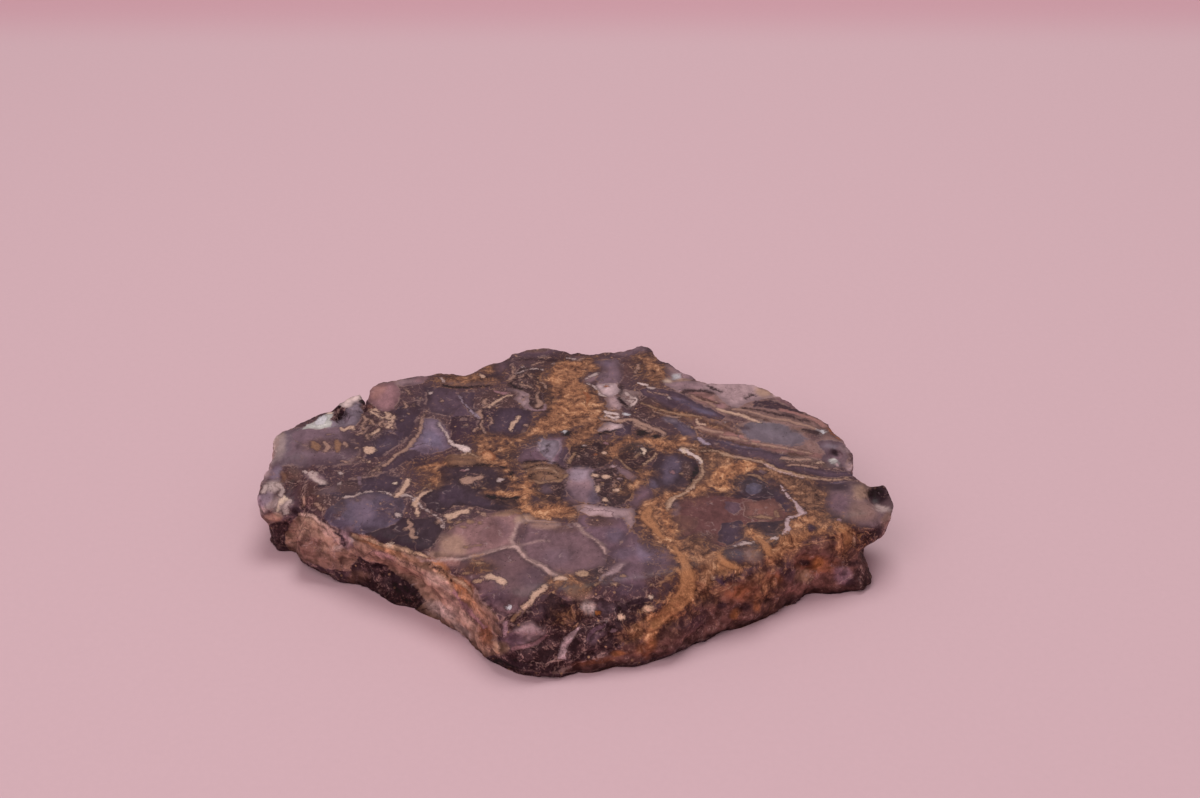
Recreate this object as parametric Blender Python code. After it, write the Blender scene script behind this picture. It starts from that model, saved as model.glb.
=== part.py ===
"""Moss agate slab: one thick sawn slice of agate with a broken, rough edge.

Metres, +Z up. The sawn underside lies on z = 0 and the origin is under the middle of the stone.
The outline is drawn in millimetres, seen from above, with +X to the right and +Y away from the viewer.
"""

import math

import bmesh
import bpy
import numpy as np
from mathutils import Vector, noise
from mathutils.geometry import delaunay_2d_cdt

MM = 0.001

THICK = 13.5            # height of the sawn top face
COLUMN_STEP = 1.5       # spacing of the wall's columns along the outline
CURVED = 0.5            # how far the outline bends between its places, from 0, straight, to 1
TOP_STEP = 2.15         # spacing of the points on the top face
BASE_STEP = 9.0         # spacing of the points on the underside
SHARP_ANGLE = 35        # edges of the skin that bend by more degrees are shaded sharp

# The broken wall: heights of its rings, as a share of the rim's height, and its relief.
LEVELS = (0.0, 0.10, 0.23, 0.36, 0.49, 0.62, 0.75, 0.88, 1.0)
LUMP_DEPTH, LUMP_SIZE = 1.9, 6.6
GRAIN_DEPTH, GRAIN_SIZE = 0.5, 3.8
RIM_CALM = 0.8          # share of the relief that fades out at the rim
STRATA_STEP = 3.4       # spacing of the thin ledges along the wall
STRATA_DEPTH = 0.28
STRATA_DIP = (0.32, -0.20)
STRATA_WANDER, STRATA_WANDER_SIZE = 0.8, 9.0
EASE_ROUNDS = 8         # how often the wall's normals are eased over their neighbours

# The sawn top face: unevenness, its sizes, and the lumps where it is broken.
TOP_WAVE = 0.16
WAVE_LONG, WAVE_SHORT = 13.0, 4.0
BROKEN_SIZE = 3.1
BROKEN_SINK = 0.35      # how far the lumps sink as a whole, as a share of their height

# Layered noise: how fast each layer fades, how much finer it is, and the number of layers.
LAYERS = (0.9, 2.1, 3)
LUMP_SEED, GRAIN_SEED, STRATA_SEED = 1.7, 5.3, 2.2
LONG_SEED, SHORT_SEED, BROKEN_SEED = 3.1, 8.7, 9.4

# The rim of the top face, clockwise from the west end. Each place holds
# x, y, drop of the rim below the sawn face, lean (how far the foot stands out past the rim),
# shoulder and waist (how far the wall stands out there, high up and low down).
OUTLINE = (
    # west end, a pale translucent chip
    (-57.9, -6.0, 1.6, -0.9, 0.6, -0.2),
    (-57.3, -0.4, 1.0, 0.0, 0.6, 0.3),
    (-56.3, 4.3, 0.5, 0.0, 0.4, 0.2),
    (-57.0, 7.9, 0.5, 0.2, 0.4, 0.0),
    (-58.0, 10.5, 0.5, -0.8, 0.0, -0.4),
    (-56.6, 12.6, 0.4, -0.5, 0.2, 0.0),
    (-54.3, 14.5, 0.3, 0.0, 0.4, 0.3),
    (-53.8, 16.1, 0.4, 0.3, 0.4, 0.4),
    (-51.6, 18.8, 0.6, 0.4, 0.5, 0.4),
    (-49.6, 20.4, 0.6, 0.3, 0.5, 0.3),
    (-47.9, 21.1, 0.6, 0.0, 0.4, 0.2),
    (-46.9, 22.9, 0.6, 0.2, 0.3, 0.2),
    (-46.1, 24.5, 0.5, 0.2, 0.3, 0.2),
    (-44.7, 26.2, 0.5, 0.3, 0.3, 0.2),
    (-42.8, 26.6, 0.5, 0.2, 0.2, 0.1),
    # the sharp notch
    (-42.2, 25.2, 0.5, 0.1, 0.0, 0.0),
    (-41.5, 23.7, 0.9, 1.1, 0.1, 0.3),
    (-41.1, 25.9, 0.3, 0.1, 0.0, 0.0),
    (-40.8, 28.4, 0.3, 0.3, 0.2, 0.3),
    # north-west edge
    (-39.3, 30.2, 0.3, 0.5, 0.4, 0.5),
    (-36.0, 30.9, 0.3, 0.8, 0.6, 0.7),
    (-32.9, 32.5, 0.3, 1.0, 0.5, 0.8),
    (-30.3, 33.0, 0.4, 1.0, 0.4, 0.6),
    (-27.3, 34.2, 0.3, 0.4, 0.3, 0.2),
    (-24.8, 33.9, 0.4, 0.3, 0.3, 0.4),
    (-22.6, 33.2, 0.5, 0.7, 0.5, 0.6),
    (-20.0, 35.5, 0.4, 0.8, 0.4, 0.5),
    (-18.0, 38.0, 0.4, 0.3, 0.2, 0.2),
    (-16.0, 38.5, 0.4, 0.4, 0.3, 0.3),
    (-14.1, 40.5, 0.4, 0.2, 0.2, 0.1),
    (-13.5, 43.1, 0.6, -0.8, 0.1, -0.4),
    # north shoulder
    (-10.7, 44.0, 0.6, -1.4, 0.2, -0.6),
    (-7.2, 44.9, 0.6, -1.8, 0.1, -0.8),
    (-3.0, 43.5, 0.5, -0.8, 0.1, -0.3),
    (-1.6, 41.9, 0.5, 0.5, 0.3, 0.5),
    (0.2, 42.4, 0.5, 0.3, 0.3, 0.4),
    (2.6, 41.8, 0.5, 0.6, 0.4, 0.5),
    (5.4, 43.2, 0.4, -0.3, 0.2, 0.1),
    (8.6, 43.8, 0.4, -0.6, 0.1, 0.0),
    (10.4, 44.7, 0.5, -1.0, 0.0, -0.3),
    (12.8, 45.9, 0.6, -2.0, -0.1, -0.8),
    (14.8, 44.4, 0.5, -1.2, 0.0, -0.4),
    (15.5, 41.2, 0.4, -0.3, 0.1, 0.1),
    (16.4, 39.1, 0.4, 0.2, 0.2, 0.4),
    (18.6, 38.0, 0.5, 0.3, 0.3, 0.3),
    (20.8, 35.7, 0.5, 0.4, 0.3, 0.3),
    (22.6, 34.7, 0.5, 0.2, 0.2, 0.2),
    (23.6, 32.5, 0.5, 0.5, 0.3, 0.4),
    # the lower shelf on the north-east
    (25.2, 31.6, 0.4, 1.0, 0.5, 0.7),
    (28.6, 31.3, 0.4, 1.4, 0.7, 0.9),
    (31.8, 31.4, 0.4, 1.3, 0.7, 0.8),
    (34.7, 31.0, 0.5, 0.9, 0.5, 0.6),
    (37.3, 29.3, 0.6, 0.5, 0.4, 0.4),
    (38.8, 27.1, 0.6, 0.5, 0.4, 0.4),
    (40.4, 25.1, 0.5, 0.4, 0.3, 0.3),
    (42.4, 23.6, 0.6, -0.2, 0.2, 0.1),
    (42.9, 21.4, 0.5, 0.4, 0.3, 0.4),
    (45.2, 19.0, 0.5, 0.4, 0.4, 0.4),
    (47.6, 15.9, 0.4, 0.3, 0.4, 0.3),
    (48.9, 12.6, 0.4, 0.3, 0.3, 0.3),
    (50.4, 10.3, 0.5, -0.2, 0.1, 0.0),
    (50.6, 7.9, 0.5, 0.1, 0.1, 0.1),
    (51.7, 6.7, 0.6, -0.5, 0.1, -0.2),
    (51.5, 3.4, 0.5, -0.3, 0.2, 0.0),
    (50.8, -0.9, 0.5, -0.2, 0.2, 0.1),
    # the knob on the east
    (51.7, -2.9, 0.6, -0.8, 0.0, -0.4),
    (52.8, -4.2, 0.6, -1.6, 0.1, -0.8),
    (56.7, -4.0, 0.6, -4.0, 0.0, -1.2),
    (57.2, -6.8, 0.9, -4.4, 0.3, -1.6),
    (57.4, -9.8, 1.0, -4.8, 0.4, -2.0),
    (56.9, -12.4, 1.3, -4.4, 0.4, -2.0),
    (55.4, -14.8, 1.8, -2.6, 0.5, -1.6),
    (52.8, -16.8, 1.8, 0.2, 0.4, -0.6),
    (50.3, -17.4, 1.3, 2.6, 0.0, 0.0),
    # south-east wall, steep and pitted
    (47.8, -18.4, 0.9, 2.5, 0.9, 0.5),
    (44.6, -19.4, 0.9, 1.9, 1.1, 0.8),
    (41.0, -20.4, 0.9, 1.0, 1.2, 0.9),
    (37.4, -22.0, 0.9, 2.9, 1.3, 0.9),
    (34.2, -24.6, 0.9, 3.0, 1.4, 1.0),
    (30.6, -27.6, 1.0, 2.6, 1.5, 1.1),
    (26.4, -29.2, 1.1, 2.9, 1.6, 1.1),
    (21.8, -31.2, 1.4, 2.8, 1.7, 1.2),
    (17.2, -34.2, 1.8, 3.0, 1.6, 1.2),
    (12.8, -36.6, 2.3, 4.3, 1.5, 1.0),
    # the nose
    (8.0, -38.0, 2.8, 4.4, 1.2, 0.8),
    (3.4, -38.7, 3.2, 4.7, 1.2, 0.8),
    (-1.2, -39.0, 3.3, 5.0, 1.2, 0.8),
    (-5.2, -40.0, 3.0, 4.9, 1.2, 0.8),
    (-8.8, -40.3, 2.6, 3.5, 1.2, 0.8),
    (-11.7, -39.8, 2.0, 2.5, 1.2, 0.7),
    # south-west wall, a pale rind over a dark hollow
    (-13.7, -37.6, 1.6, 2.4, 1.2, 0.7),
    (-16.2, -34.4, 1.4, 2.3, 1.2, 0.6),
    (-18.9, -31.4, 1.3, 1.9, 1.3, 0.4),
    (-22.2, -28.2, 1.2, 2.4, 1.4, 0.2),
    (-25.8, -25.6, 1.0, 2.2, 1.4, -0.2),
    (-29.6, -23.0, 0.9, 2.4, 1.6, -0.6),
    (-33.8, -21.2, 0.9, 2.4, 1.2, -0.6),
    (-37.6, -19.4, 0.9, 1.3, 0.8, 0.2),
    (-40.2, -17.4, 1.2, 0.8, 0.6, 0.6),
    (-42.8, -15.8, 1.6, 1.2, 0.9, 1.1),
    (-45.8, -13.8, 1.8, 1.2, 1.0, 1.2),
    (-48.6, -11.6, 2.0, 1.2, 1.0, 1.2),
    # the recess between the rind and the west end
    (-51.0, -9.8, 3.0, 0.2, 0.0, 0.2),
    (-53.2, -8.9, 3.0, -0.8, 0.2, 0.4),
    (-55.8, -8.4, 2.4, -1.0, 0.6, 0.6),
)

# Hollows and lumps on the wall: centre x, y, z, reach along the wall, reach up it, push outward.
WALL_FEATURES = (
    (53.0, -15.4, 5.6, 3.2, 1.9, -3.2),     # under the knob
    (52.8, -18.6, 2.2, 3.6, 2.6, 1.8),      # the foot below it
    (55.0, -14.8, 9.6, 2.6, 2.6, 0.7),      # the knob's belly
    (-33.5, -23.2, 5.0, 6.5, 3.6, -3.0),    # dark hollow under the rind
    (-26.5, -25.5, 4.6, 4.0, 2.8, -1.8),
    (-38.8, -17.0, 6.0, 1.6, 6.0, -1.6),    # crease between two lobes
    (-46.8, -12.6, 6.4, 4.0, 4.2, 1.4),     # round lobe of rind
    (-52.0, -9.2, 5.0, 2.0, 6.0, -0.9),     # recess by the west end
    (40.4, -22.0, 6.2, 1.6, 1.9, -1.9),     # pits of the south-east wall
    (29.0, -30.0, 6.0, 1.9, 1.8, -1.7),
    (24.6, -32.0, 4.4, 1.8, 2.0, -1.5),
    (45.6, -20.8, 8.2, 1.7, 1.6, -1.3),
    (34.6, -26.4, 4.0, 2.3, 2.1, -1.4),
    (36.4, -25.0, 8.4, 2.3, 1.9, 1.1),
    (17.5, -37.0, 4.6, 4.0, 1.9, 1.2),
    (7.4, -41.0, 5.2, 2.4, 1.9, -1.5),      # steps of the nose
    (-3.2, -42.4, 8.0, 3.2, 1.6, -1.7),
    (-7.6, -42.0, 4.4, 3.2, 1.6, 1.0),
    (-17.2, -34.8, 6.0, 2.2, 4.0, -1.1),
    (-12.6, -39.6, 3.4, 2.2, 2.2, 1.0),
    (-48.0, 21.6, 6.0, 3.0, 3.0, -1.2),     # north side, broken ledges
    (-37.0, 31.6, 5.0, 5.0, 2.4, 1.3),
    (-29.0, 34.2, 8.0, 3.6, 2.2, -1.3),
    (-18.0, 37.8, 4.0, 4.0, 2.4, 1.5),
    (-6.0, 44.0, 6.0, 5.0, 2.6, -1.4),
    (4.0, 42.8, 8.6, 4.0, 2.0, -1.1),
    (14.8, 42.8, 5.0, 3.0, 3.2, -1.3),
    (22.0, 34.8, 3.6, 3.6, 2.4, 1.4),
    (31.0, 32.0, 7.4, 5.0, 2.2, -1.4),
    (40.0, 26.2, 4.2, 4.0, 2.6, 1.3),
    (48.8, 14.6, 7.4, 4.0, 2.2, -1.2),
    (51.2, 2.4, 4.4, 4.2, 2.4, -1.3),
    (-57.2, 2.4, 5.0, 4.2, 2.8, -1.2),
    (-56.2, 12.4, 4.0, 3.0, 2.4, 1.1),
)

# Hollows in the top face: x, y, half length, half width, angle in degrees, depth, steepness.
TOP_HOLLOWS = (
    (-50.6, 17.4, 3.8, 2.7, 35, 1.3, 2),    # white chip
    (-44.2, 24.0, 2.4, 2.6, 50, 0.9, 2),    # blue-white chip
    (-45.5, 18.6, 2.3, 1.3, 98, 3.6, 4),    # black vug
    (-46.2, 21.4, 1.1, 0.9, 60, 2.0, 3),
    (-41.6, 22.2, 1.9, 0.8, 120, 2.4, 3),   # vug behind the notch
    (-52.6, -4.5, 7.0, 3.0, 80, 2.2, 2),    # rubble of the west end
    (-51.6, -6.8, 2.4, 1.8, 70, 2.2, 3),
    (-49.4, -9.8, 1.8, 1.4, 0, 2.6, 3),
    (55.0, -8.0, 3.7, 1.9, 92, 2.6, 4),     # druse in the knob
    (48.4, 5.0, 1.6, 1.3, 90, 1.6, 3),      # pit by the east rim
    (-26.6, 9.6, 8.6, 3.2, 84, 0.9, 3),     # shallow shell of pale agate
    (-6.4, 6.0, 3.4, 2.6, 80, 0.8, 3),
    (-9.6, 41.2, 5.2, 3.0, 0, 1.2, 2),      # broken north edge
    (8.6, 42.4, 4.6, 2.0, 15, 1.0, 2),
    (20.4, 34.2, 3.4, 1.9, -40, 1.5, 2),
    (5.8, 26.2, 2.6, 3.6, 90, 0.6, 3),
    (9.4, 23.8, 2.8, 0.9, 115, 1.0, 3),
    (30.4, 27.6, 11.0, 5.4, -12, 1.2, 2),   # lower shelf
    (41.4, 22.8, 3.2, 2.0, -45, 1.0, 2),
    (36.6, 13.0, 6.2, 2.8, -38, 0.6, 3),
    (26.4, 22.2, 7.2, 1.1, -36, 0.8, 2),
    (43.0, 1.0, 6.6, 1.1, -14, 0.6, 2),
    (8.0, -37.0, 8.0, 1.6, 18, 1.2, 2),     # groove above the nose
    (-36.4, -13.8, 8.8, 6.4, -25, 0.7, 2),  # dished blue cell
    (12.0, 5.4, 3.6, 2.8, 20, 0.5, 3),
    (31.0, -7.4, 7.2, 4.2, -30, 0.6, 2),
)

# Where the top face is broken instead of sawn: x, y, half length, half width, angle, height of lumps.
BROKEN_PATCHES = (
    (-52.0, -4.5, 7.5, 4.6, 80, 1.5),
    (-44.5, 21.5, 6.5, 4.0, 40, 0.8),
    (-10.0, 38.5, 7.5, 5.5, -10, 0.9),
    (12.0, 40.5, 5.0, 5.0, 0, 0.9),
    (10.5, 21.0, 4.5, 3.0, 110, 0.7),
    (-1.0, -37.5, 14.0, 3.4, 2, 1.3),
    (33.0, -24.0, 12.0, 3.0, 33, 0.8),
    (55.0, -8.5, 4.6, 3.0, 92, 1.3),
)

# Hollows at least this steep and deep get rings of points of their own.
RINGED_STEEPNESS, RINGED_DEPTH = 3, 1.5
HOLLOW_RINGS = ((0.72, 8), (1.2, 12))       # reach of a ring, number of its points
# Nearest that points of the top face come to each other, as shares of TOP_STEP.
RING_SPACING, RING_TO_RIM, SPREAD_TO_RING, SPREAD_TO_RIM = 0.28, 0.30, 0.50, 0.45
BASE_TO_FOOT = 0.4      # nearest that points of the underside come to its edge, share of BASE_STEP
SAME_PLACE = 1e-6

EDGE_WIDTH = 3.2        # width over which the top face rounds off to its rim
# Where the wall's shoulder, waist and foot are, and how far up and down they reach, shares of the height.
SHOULDER_AT, SHOULDER_REACH = 0.78, 0.42
WAIST_AT, WAIST_REACH = 0.34, 0.40
FOOT_INSET, FOOT_REACH = 0.6, 0.12

STONE_COLOUR = (0.118, 0.075, 0.072, 1.0)
STONE_ROUGHNESS = 0.38


def catmull(p0, p1, p2, p3, t):
    """A point of the smooth curve through p1 and p2."""
    return 0.5 * ((2 * p1) + (p2 - p0) * t + (2 * p0 - 5 * p1 + 4 * p2 - p3) * t ** 2
                  + (3 * p1 - p0 - 3 * p2 + p3) * t ** 3)


def columns():
    """The outline's places with more between them, on a slightly bent line."""
    places = np.array(OUTLINE)
    count = len(places)
    found = []
    for i in range(count):
        p0, p1, p2, p3 = (places[(i + k) % count] for k in (-1, 0, 1, 2))
        steps = max(1, round(math.dist(p1[:2], p2[:2]) / COLUMN_STEP))
        for t in np.linspace(0, 1, steps, endpoint=False):
            found.append(CURVED * catmull(p0, p1, p2, p3, t) + (1 - CURVED) * (p1 + (p2 - p1) * t))
    return np.array(found)


def outward(points):
    """Unit normals that point out of a clockwise outline, eased over their neighbours."""
    along = np.roll(points, -2, axis=0) - np.roll(points, 2, axis=0)
    normal = np.column_stack([-along[:, 1], along[:, 0]])
    normal /= np.linalg.norm(normal, axis=1)[:, None]
    for _ in range(EASE_ROUNDS):
        normal = np.roll(normal, 1, axis=0) + 2 * normal + np.roll(normal, -1, axis=0)
        normal /= np.linalg.norm(normal, axis=1)[:, None]
    return normal


def hump(value, centre, reach):
    """A smooth bell of height 1 that ends at the reach."""
    return max(0.0, 1 - ((value - centre) / reach) ** 2) ** 2


def grain(x, y, z, size, seed):
    """Layered noise at a place, from about -1 to 1."""
    at = Vector((x / size + seed, y / size - seed, z / size + 2 * seed))
    return noise.fractal(at, *LAYERS)


def facets(x, y, z, size, seed):
    """Broken-stone lumps: the distance to the nearest of scattered points, less its middle value."""
    at = Vector((x / size + seed, y / size + seed, z / size - seed))
    nearest = noise.voronoi(at)[0][0]
    return nearest - 0.5


def strata(x, y, z):
    """Thin ledges that sink towards the south-east end of the stone."""
    band = z + STRATA_DIP[0] * x + STRATA_DIP[1] * y
    band += STRATA_WANDER * grain(x, y, z, STRATA_WANDER_SIZE, STRATA_SEED)
    return STRATA_DEPTH * math.sin(2 * math.pi * band / STRATA_STEP)


def wall_feature(x, y, z):
    """How far the hollows and lumps of the wall push a point outward."""
    push = 0.0
    for cx, cy, cz, reach, rise, amount in WALL_FEATURES:
        away = math.hypot(x - cx, y - cy) / reach
        up = (z - cz) / rise
        push += amount * math.exp(-(away ** 2 + up ** 2))
    return push


def oval_distance(x, y, cx, cy, length, width, angle):
    """Distance from an oval's middle: 1 on its outline."""
    turn = math.radians(angle)
    dx, dy = x - cx, y - cy
    u = (dx * math.cos(turn) + dy * math.sin(turn)) / length
    v = (-dx * math.sin(turn) + dy * math.cos(turn)) / width
    return math.hypot(u, v)


def hollow_depth(x, y):
    """Depth of the deepest hollow of the top face at a place."""
    depth = 0.0
    for cx, cy, length, width, angle, amount, steep in TOP_HOLLOWS:
        away = oval_distance(x, y, cx, cy, length, width, angle)
        depth = max(depth, amount * math.exp(-away ** steep))
    return depth


def broken_relief(x, y):
    """Lumps of the broken patches of the top face, zero where it is sawn."""
    height = 0.0
    for cx, cy, length, width, angle, amount in BROKEN_PATCHES:
        away = oval_distance(x, y, cx, cy, length, width, angle)
        height = max(height, amount * math.exp(-away ** 3))
    return height * (facets(x, y, 0, BROKEN_SIZE, BROKEN_SEED) - BROKEN_SINK)


def top_height(x, y, edge, drop):
    """Height of the top face, given the distance to its rim and the drop of the rim there."""
    wave = TOP_WAVE * (grain(x, y, 0, WAVE_LONG, LONG_SEED) + 0.5 * grain(x, y, 0, WAVE_SHORT, SHORT_SEED))
    rounding = drop * max(0.0, 1 - edge / EDGE_WIDTH) ** 2
    return THICK + wave - rounding - hollow_depth(x, y) + broken_relief(x, y)


def wall_rings(places, normals):
    """Rings of the wall from the foot to the rim, one point per column in each."""
    rings = []
    for level in LEVELS:
        ring = []
        for (x, y, drop, lean, shoulder, waist), (nx, ny) in zip(places, normals):
            z = level * top_height(x, y, 0, drop)
            push = lean * (1 - level)
            push += shoulder * hump(level, SHOULDER_AT, SHOULDER_REACH)
            push += waist * hump(level, WAIST_AT, WAIST_REACH)
            push -= FOOT_INSET * hump(level, 0.0, FOOT_REACH)
            push += wall_feature(x, y, z) * (1 - level ** 6)
            rough = LUMP_DEPTH * facets(x, y, z, LUMP_SIZE, LUMP_SEED)
            rough += GRAIN_DEPTH * grain(x, y, z, GRAIN_SIZE, GRAIN_SEED)
            rough += strata(x, y, z)
            push += rough * (1 - RIM_CALM * level ** 4)
            ring.append((x + nx * push, y + ny * push, z))
        rings.append(ring)
    return rings


def inside_points(loop, step, clearance):
    """Staggered points inside a loop, no nearer to it than the clearance."""
    loop = np.array(loop)[:, :2]
    nxt = np.roll(loop, -1, axis=0)
    low, high = loop.min(axis=0), loop.max(axis=0)
    found = []
    rows = int((high[1] - low[1]) / (step * math.sqrt(3) / 2))
    for row in range(rows + 1):
        y = low[1] + row * step * math.sqrt(3) / 2
        for col in range(int((high[0] - low[0]) / step) + 1):
            x = low[0] + (col + 0.5 * (row % 2)) * step
            if inside(loop, nxt, x, y) and rim_distance(loop, nxt, x, y)[0] > clearance:
                found.append((x, y))
    return found


def inside(loop, nxt, x, y):
    """Whether a point is inside a closed loop, by counting the sides to its right."""
    spans = (loop[:, 1] > y) != (nxt[:, 1] > y)
    rise = np.where(spans, nxt[:, 1] - loop[:, 1], 1.0)
    cross = loop[:, 0] + (y - loop[:, 1]) / rise * (nxt[:, 0] - loop[:, 0])
    return np.sum(spans & (x < cross)) % 2 == 1


def rim_distance(loop, nxt, x, y):
    """Distance from a point to a closed loop, and the number of the nearest column."""
    side = nxt - loop
    t = np.clip(((x - loop[:, 0]) * side[:, 0] + (y - loop[:, 1]) * side[:, 1])
                / (side ** 2).sum(axis=1), 0, 1)
    away = np.hypot(loop[:, 0] + t * side[:, 0] - x, loop[:, 1] + t * side[:, 1] - y)
    return away.min(), int(away.argmin())


def hollow_points():
    """Rings of points round the steep hollows, so that their walls are drawn."""
    found = []
    for cx, cy, length, width, angle, amount, steep in TOP_HOLLOWS:
        if steep < RINGED_STEEPNESS or amount < RINGED_DEPTH:
            continue
        turn = math.radians(angle)
        found.append((cx, cy))
        for reach, number in HOLLOW_RINGS:
            for k in range(number):
                around = 2 * math.pi * k / number
                u, v = reach * length * math.cos(around), reach * width * math.sin(around)
                found.append((cx + u * math.cos(turn) - v * math.sin(turn),
                              cy + u * math.sin(turn) + v * math.cos(turn)))
    return found


def top_points(rim):
    """Points of the top face: rings round the hollows first, then an even spread between them."""
    loop = np.array(rim)[:, :2]
    nxt = np.roll(loop, -1, axis=0)
    rings = []
    for x, y in hollow_points():
        clear = all(math.hypot(x - a, y - b) > RING_SPACING * TOP_STEP for a, b in rings)
        off_rim = rim_distance(loop, nxt, x, y)[0] > RING_TO_RIM * TOP_STEP
        if clear and off_rim and inside(loop, nxt, x, y):
            rings.append((x, y))
    spread = []
    for x, y in inside_points(rim, TOP_STEP, SPREAD_TO_RIM * TOP_STEP):
        if all(math.hypot(x - a, y - b) > SPREAD_TO_RING * TOP_STEP for a, b in rings):
            spread.append((x, y))
    return rings + spread


def cap_faces(loop, extra):
    """Triangles that fill a loop through the extra points; the numbers follow loop, then extra."""
    points = [Vector(p[:2]) for p in loop] + [Vector(p[:2]) for p in extra]
    edges = [(i, (i + 1) % len(loop)) for i in range(len(loop))]
    _, _, triangles, sources, _, _ = delaunay_2d_cdt(points, edges, [], 1, SAME_PLACE)
    number = [origins[0] for origins in sources]
    return [[number[i] for i in triangle] for triangle in triangles]


def slab_mesh():
    """The closed skin of the stone: wall rings, a top cap and a flat underside."""
    places = columns()
    normals = outward(places[:, :2])
    rings = wall_rings(places, normals)
    count = len(places)
    points = [p for ring in rings for p in ring]
    faces = []
    for level in range(len(LEVELS) - 1):
        for i in range(count):
            j = (i + 1) % count
            low, high = level * count, (level + 1) * count
            faces.append((low + i, high + i, high + j, low + j))

    rim = rings[-1]
    loop = np.array(rim)[:, :2]
    nxt = np.roll(loop, -1, axis=0)
    start = len(points)
    top_start = start - count
    extra = []
    for x, y in top_points(rim):
        edge, column = rim_distance(loop, nxt, x, y)
        extra.append((x, y, top_height(x, y, edge, places[column][2])))
    points += extra
    faces += [[top_start + i if i < count else start + i - count for i in face]
              for face in cap_faces(rim, extra)]

    foot = rings[0]
    start = len(points)
    extra = [(x, y, 0.0) for x, y in inside_points(foot, BASE_STEP, BASE_TO_FOOT * BASE_STEP)]
    points += extra
    faces += [[i if i < count else start + i - count for i in reversed(face)]
              for face in cap_faces(foot, extra)]
    return points, faces


def centred(points):
    """The points in metres, moved so that the middle of their box is over the origin."""
    points = np.array(points) * MM
    middle = (points.min(axis=0) + points.max(axis=0)) / 2
    points[:, :2] -= middle[:2]
    return points


def agate_material():
    """Dark purple-brown stone with a dull polish."""
    material = bpy.data.materials.new("moss_agate")
    material.use_nodes = True
    shader = material.node_tree.nodes["Principled BSDF"]
    shader.inputs["Base Color"].default_value = STONE_COLOUR
    shader.inputs["Roughness"].default_value = STONE_ROUGHNESS
    shader.inputs["Metallic"].default_value = 0.0
    material.diffuse_color = STONE_COLOUR
    return material


def agate_slab(collection):
    """The stone as one object."""
    points, faces = slab_mesh()
    mesh = bpy.data.meshes.new("agate_slab")
    mesh.from_pydata([tuple(p) for p in centred(points)], [], faces)
    work = bmesh.new()
    work.from_mesh(mesh)
    bmesh.ops.triangulate(work, faces=work.faces[:], quad_method="SHORT_EDGE")
    bmesh.ops.recalc_face_normals(work, faces=work.faces[:])
    work.to_mesh(mesh)
    work.free()
    mesh.shade_smooth()
    mesh.set_sharp_from_angle(angle=math.radians(SHARP_ANGLE))
    slab = bpy.data.objects.new("agate_slab", mesh)
    slab.data.materials.append(agate_material())
    collection.objects.link(slab)
    return slab


for old in list(bpy.data.objects):
    bpy.data.objects.remove(old, do_unlink=True)

stone = bpy.data.collections.new("moss_agate_slab")
bpy.context.scene.collection.children.link(stone)
agate_slab(stone)
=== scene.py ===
"""Looks of the moss agate slab: a fine broken skin, and the stone's moss, cells, veins and rind.

The markings are drawn in millimetres on a flat map, the height of the sawn face seen from above, with +X to
the right and +Y away from the viewer. A point of a wall that faces the camera takes the place on the map
that lies on the same line of sight when the stone is at rest; this is worked out once, in the stone's frame.
"""

import math

import bmesh
import bpy
import numpy as np
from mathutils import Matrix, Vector, noise


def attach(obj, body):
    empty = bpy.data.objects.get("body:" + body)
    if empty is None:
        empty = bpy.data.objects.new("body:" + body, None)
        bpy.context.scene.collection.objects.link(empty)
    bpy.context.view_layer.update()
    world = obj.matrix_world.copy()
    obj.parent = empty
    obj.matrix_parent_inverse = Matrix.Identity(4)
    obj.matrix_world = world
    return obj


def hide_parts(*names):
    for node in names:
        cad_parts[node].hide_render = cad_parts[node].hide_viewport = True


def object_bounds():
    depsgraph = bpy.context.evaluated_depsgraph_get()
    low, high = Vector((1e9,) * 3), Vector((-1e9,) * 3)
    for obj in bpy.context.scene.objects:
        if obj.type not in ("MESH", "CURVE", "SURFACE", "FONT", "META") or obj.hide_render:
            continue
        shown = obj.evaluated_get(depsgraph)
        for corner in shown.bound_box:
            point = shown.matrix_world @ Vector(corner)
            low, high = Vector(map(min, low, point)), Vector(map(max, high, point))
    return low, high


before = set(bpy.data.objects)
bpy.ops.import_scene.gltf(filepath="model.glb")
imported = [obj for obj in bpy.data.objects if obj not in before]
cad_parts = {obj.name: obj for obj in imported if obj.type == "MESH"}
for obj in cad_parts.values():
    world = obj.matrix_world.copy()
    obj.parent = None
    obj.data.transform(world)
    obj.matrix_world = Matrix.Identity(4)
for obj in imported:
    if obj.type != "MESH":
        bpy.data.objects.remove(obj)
cad_low, cad_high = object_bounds()
noise.seed_set(1)       # without a seed the drawn edges would wander differently in every run

MM = 0.001
DRAWING_SHIFT = np.array([0.410, -0.389, 0.0])      # from the drawing's origin to the stone's, mm
MAP_HEIGHT = 13.5       # height of the map, mm

# The camera, in the drawing's millimetres.
CAMERA_AT = np.array([4.347, -307.742, 220.825])
CAMERA_PITCH = 32.0
CAMERA_LENS, CAMERA_SENSOR = 60.0, 36.0

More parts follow.
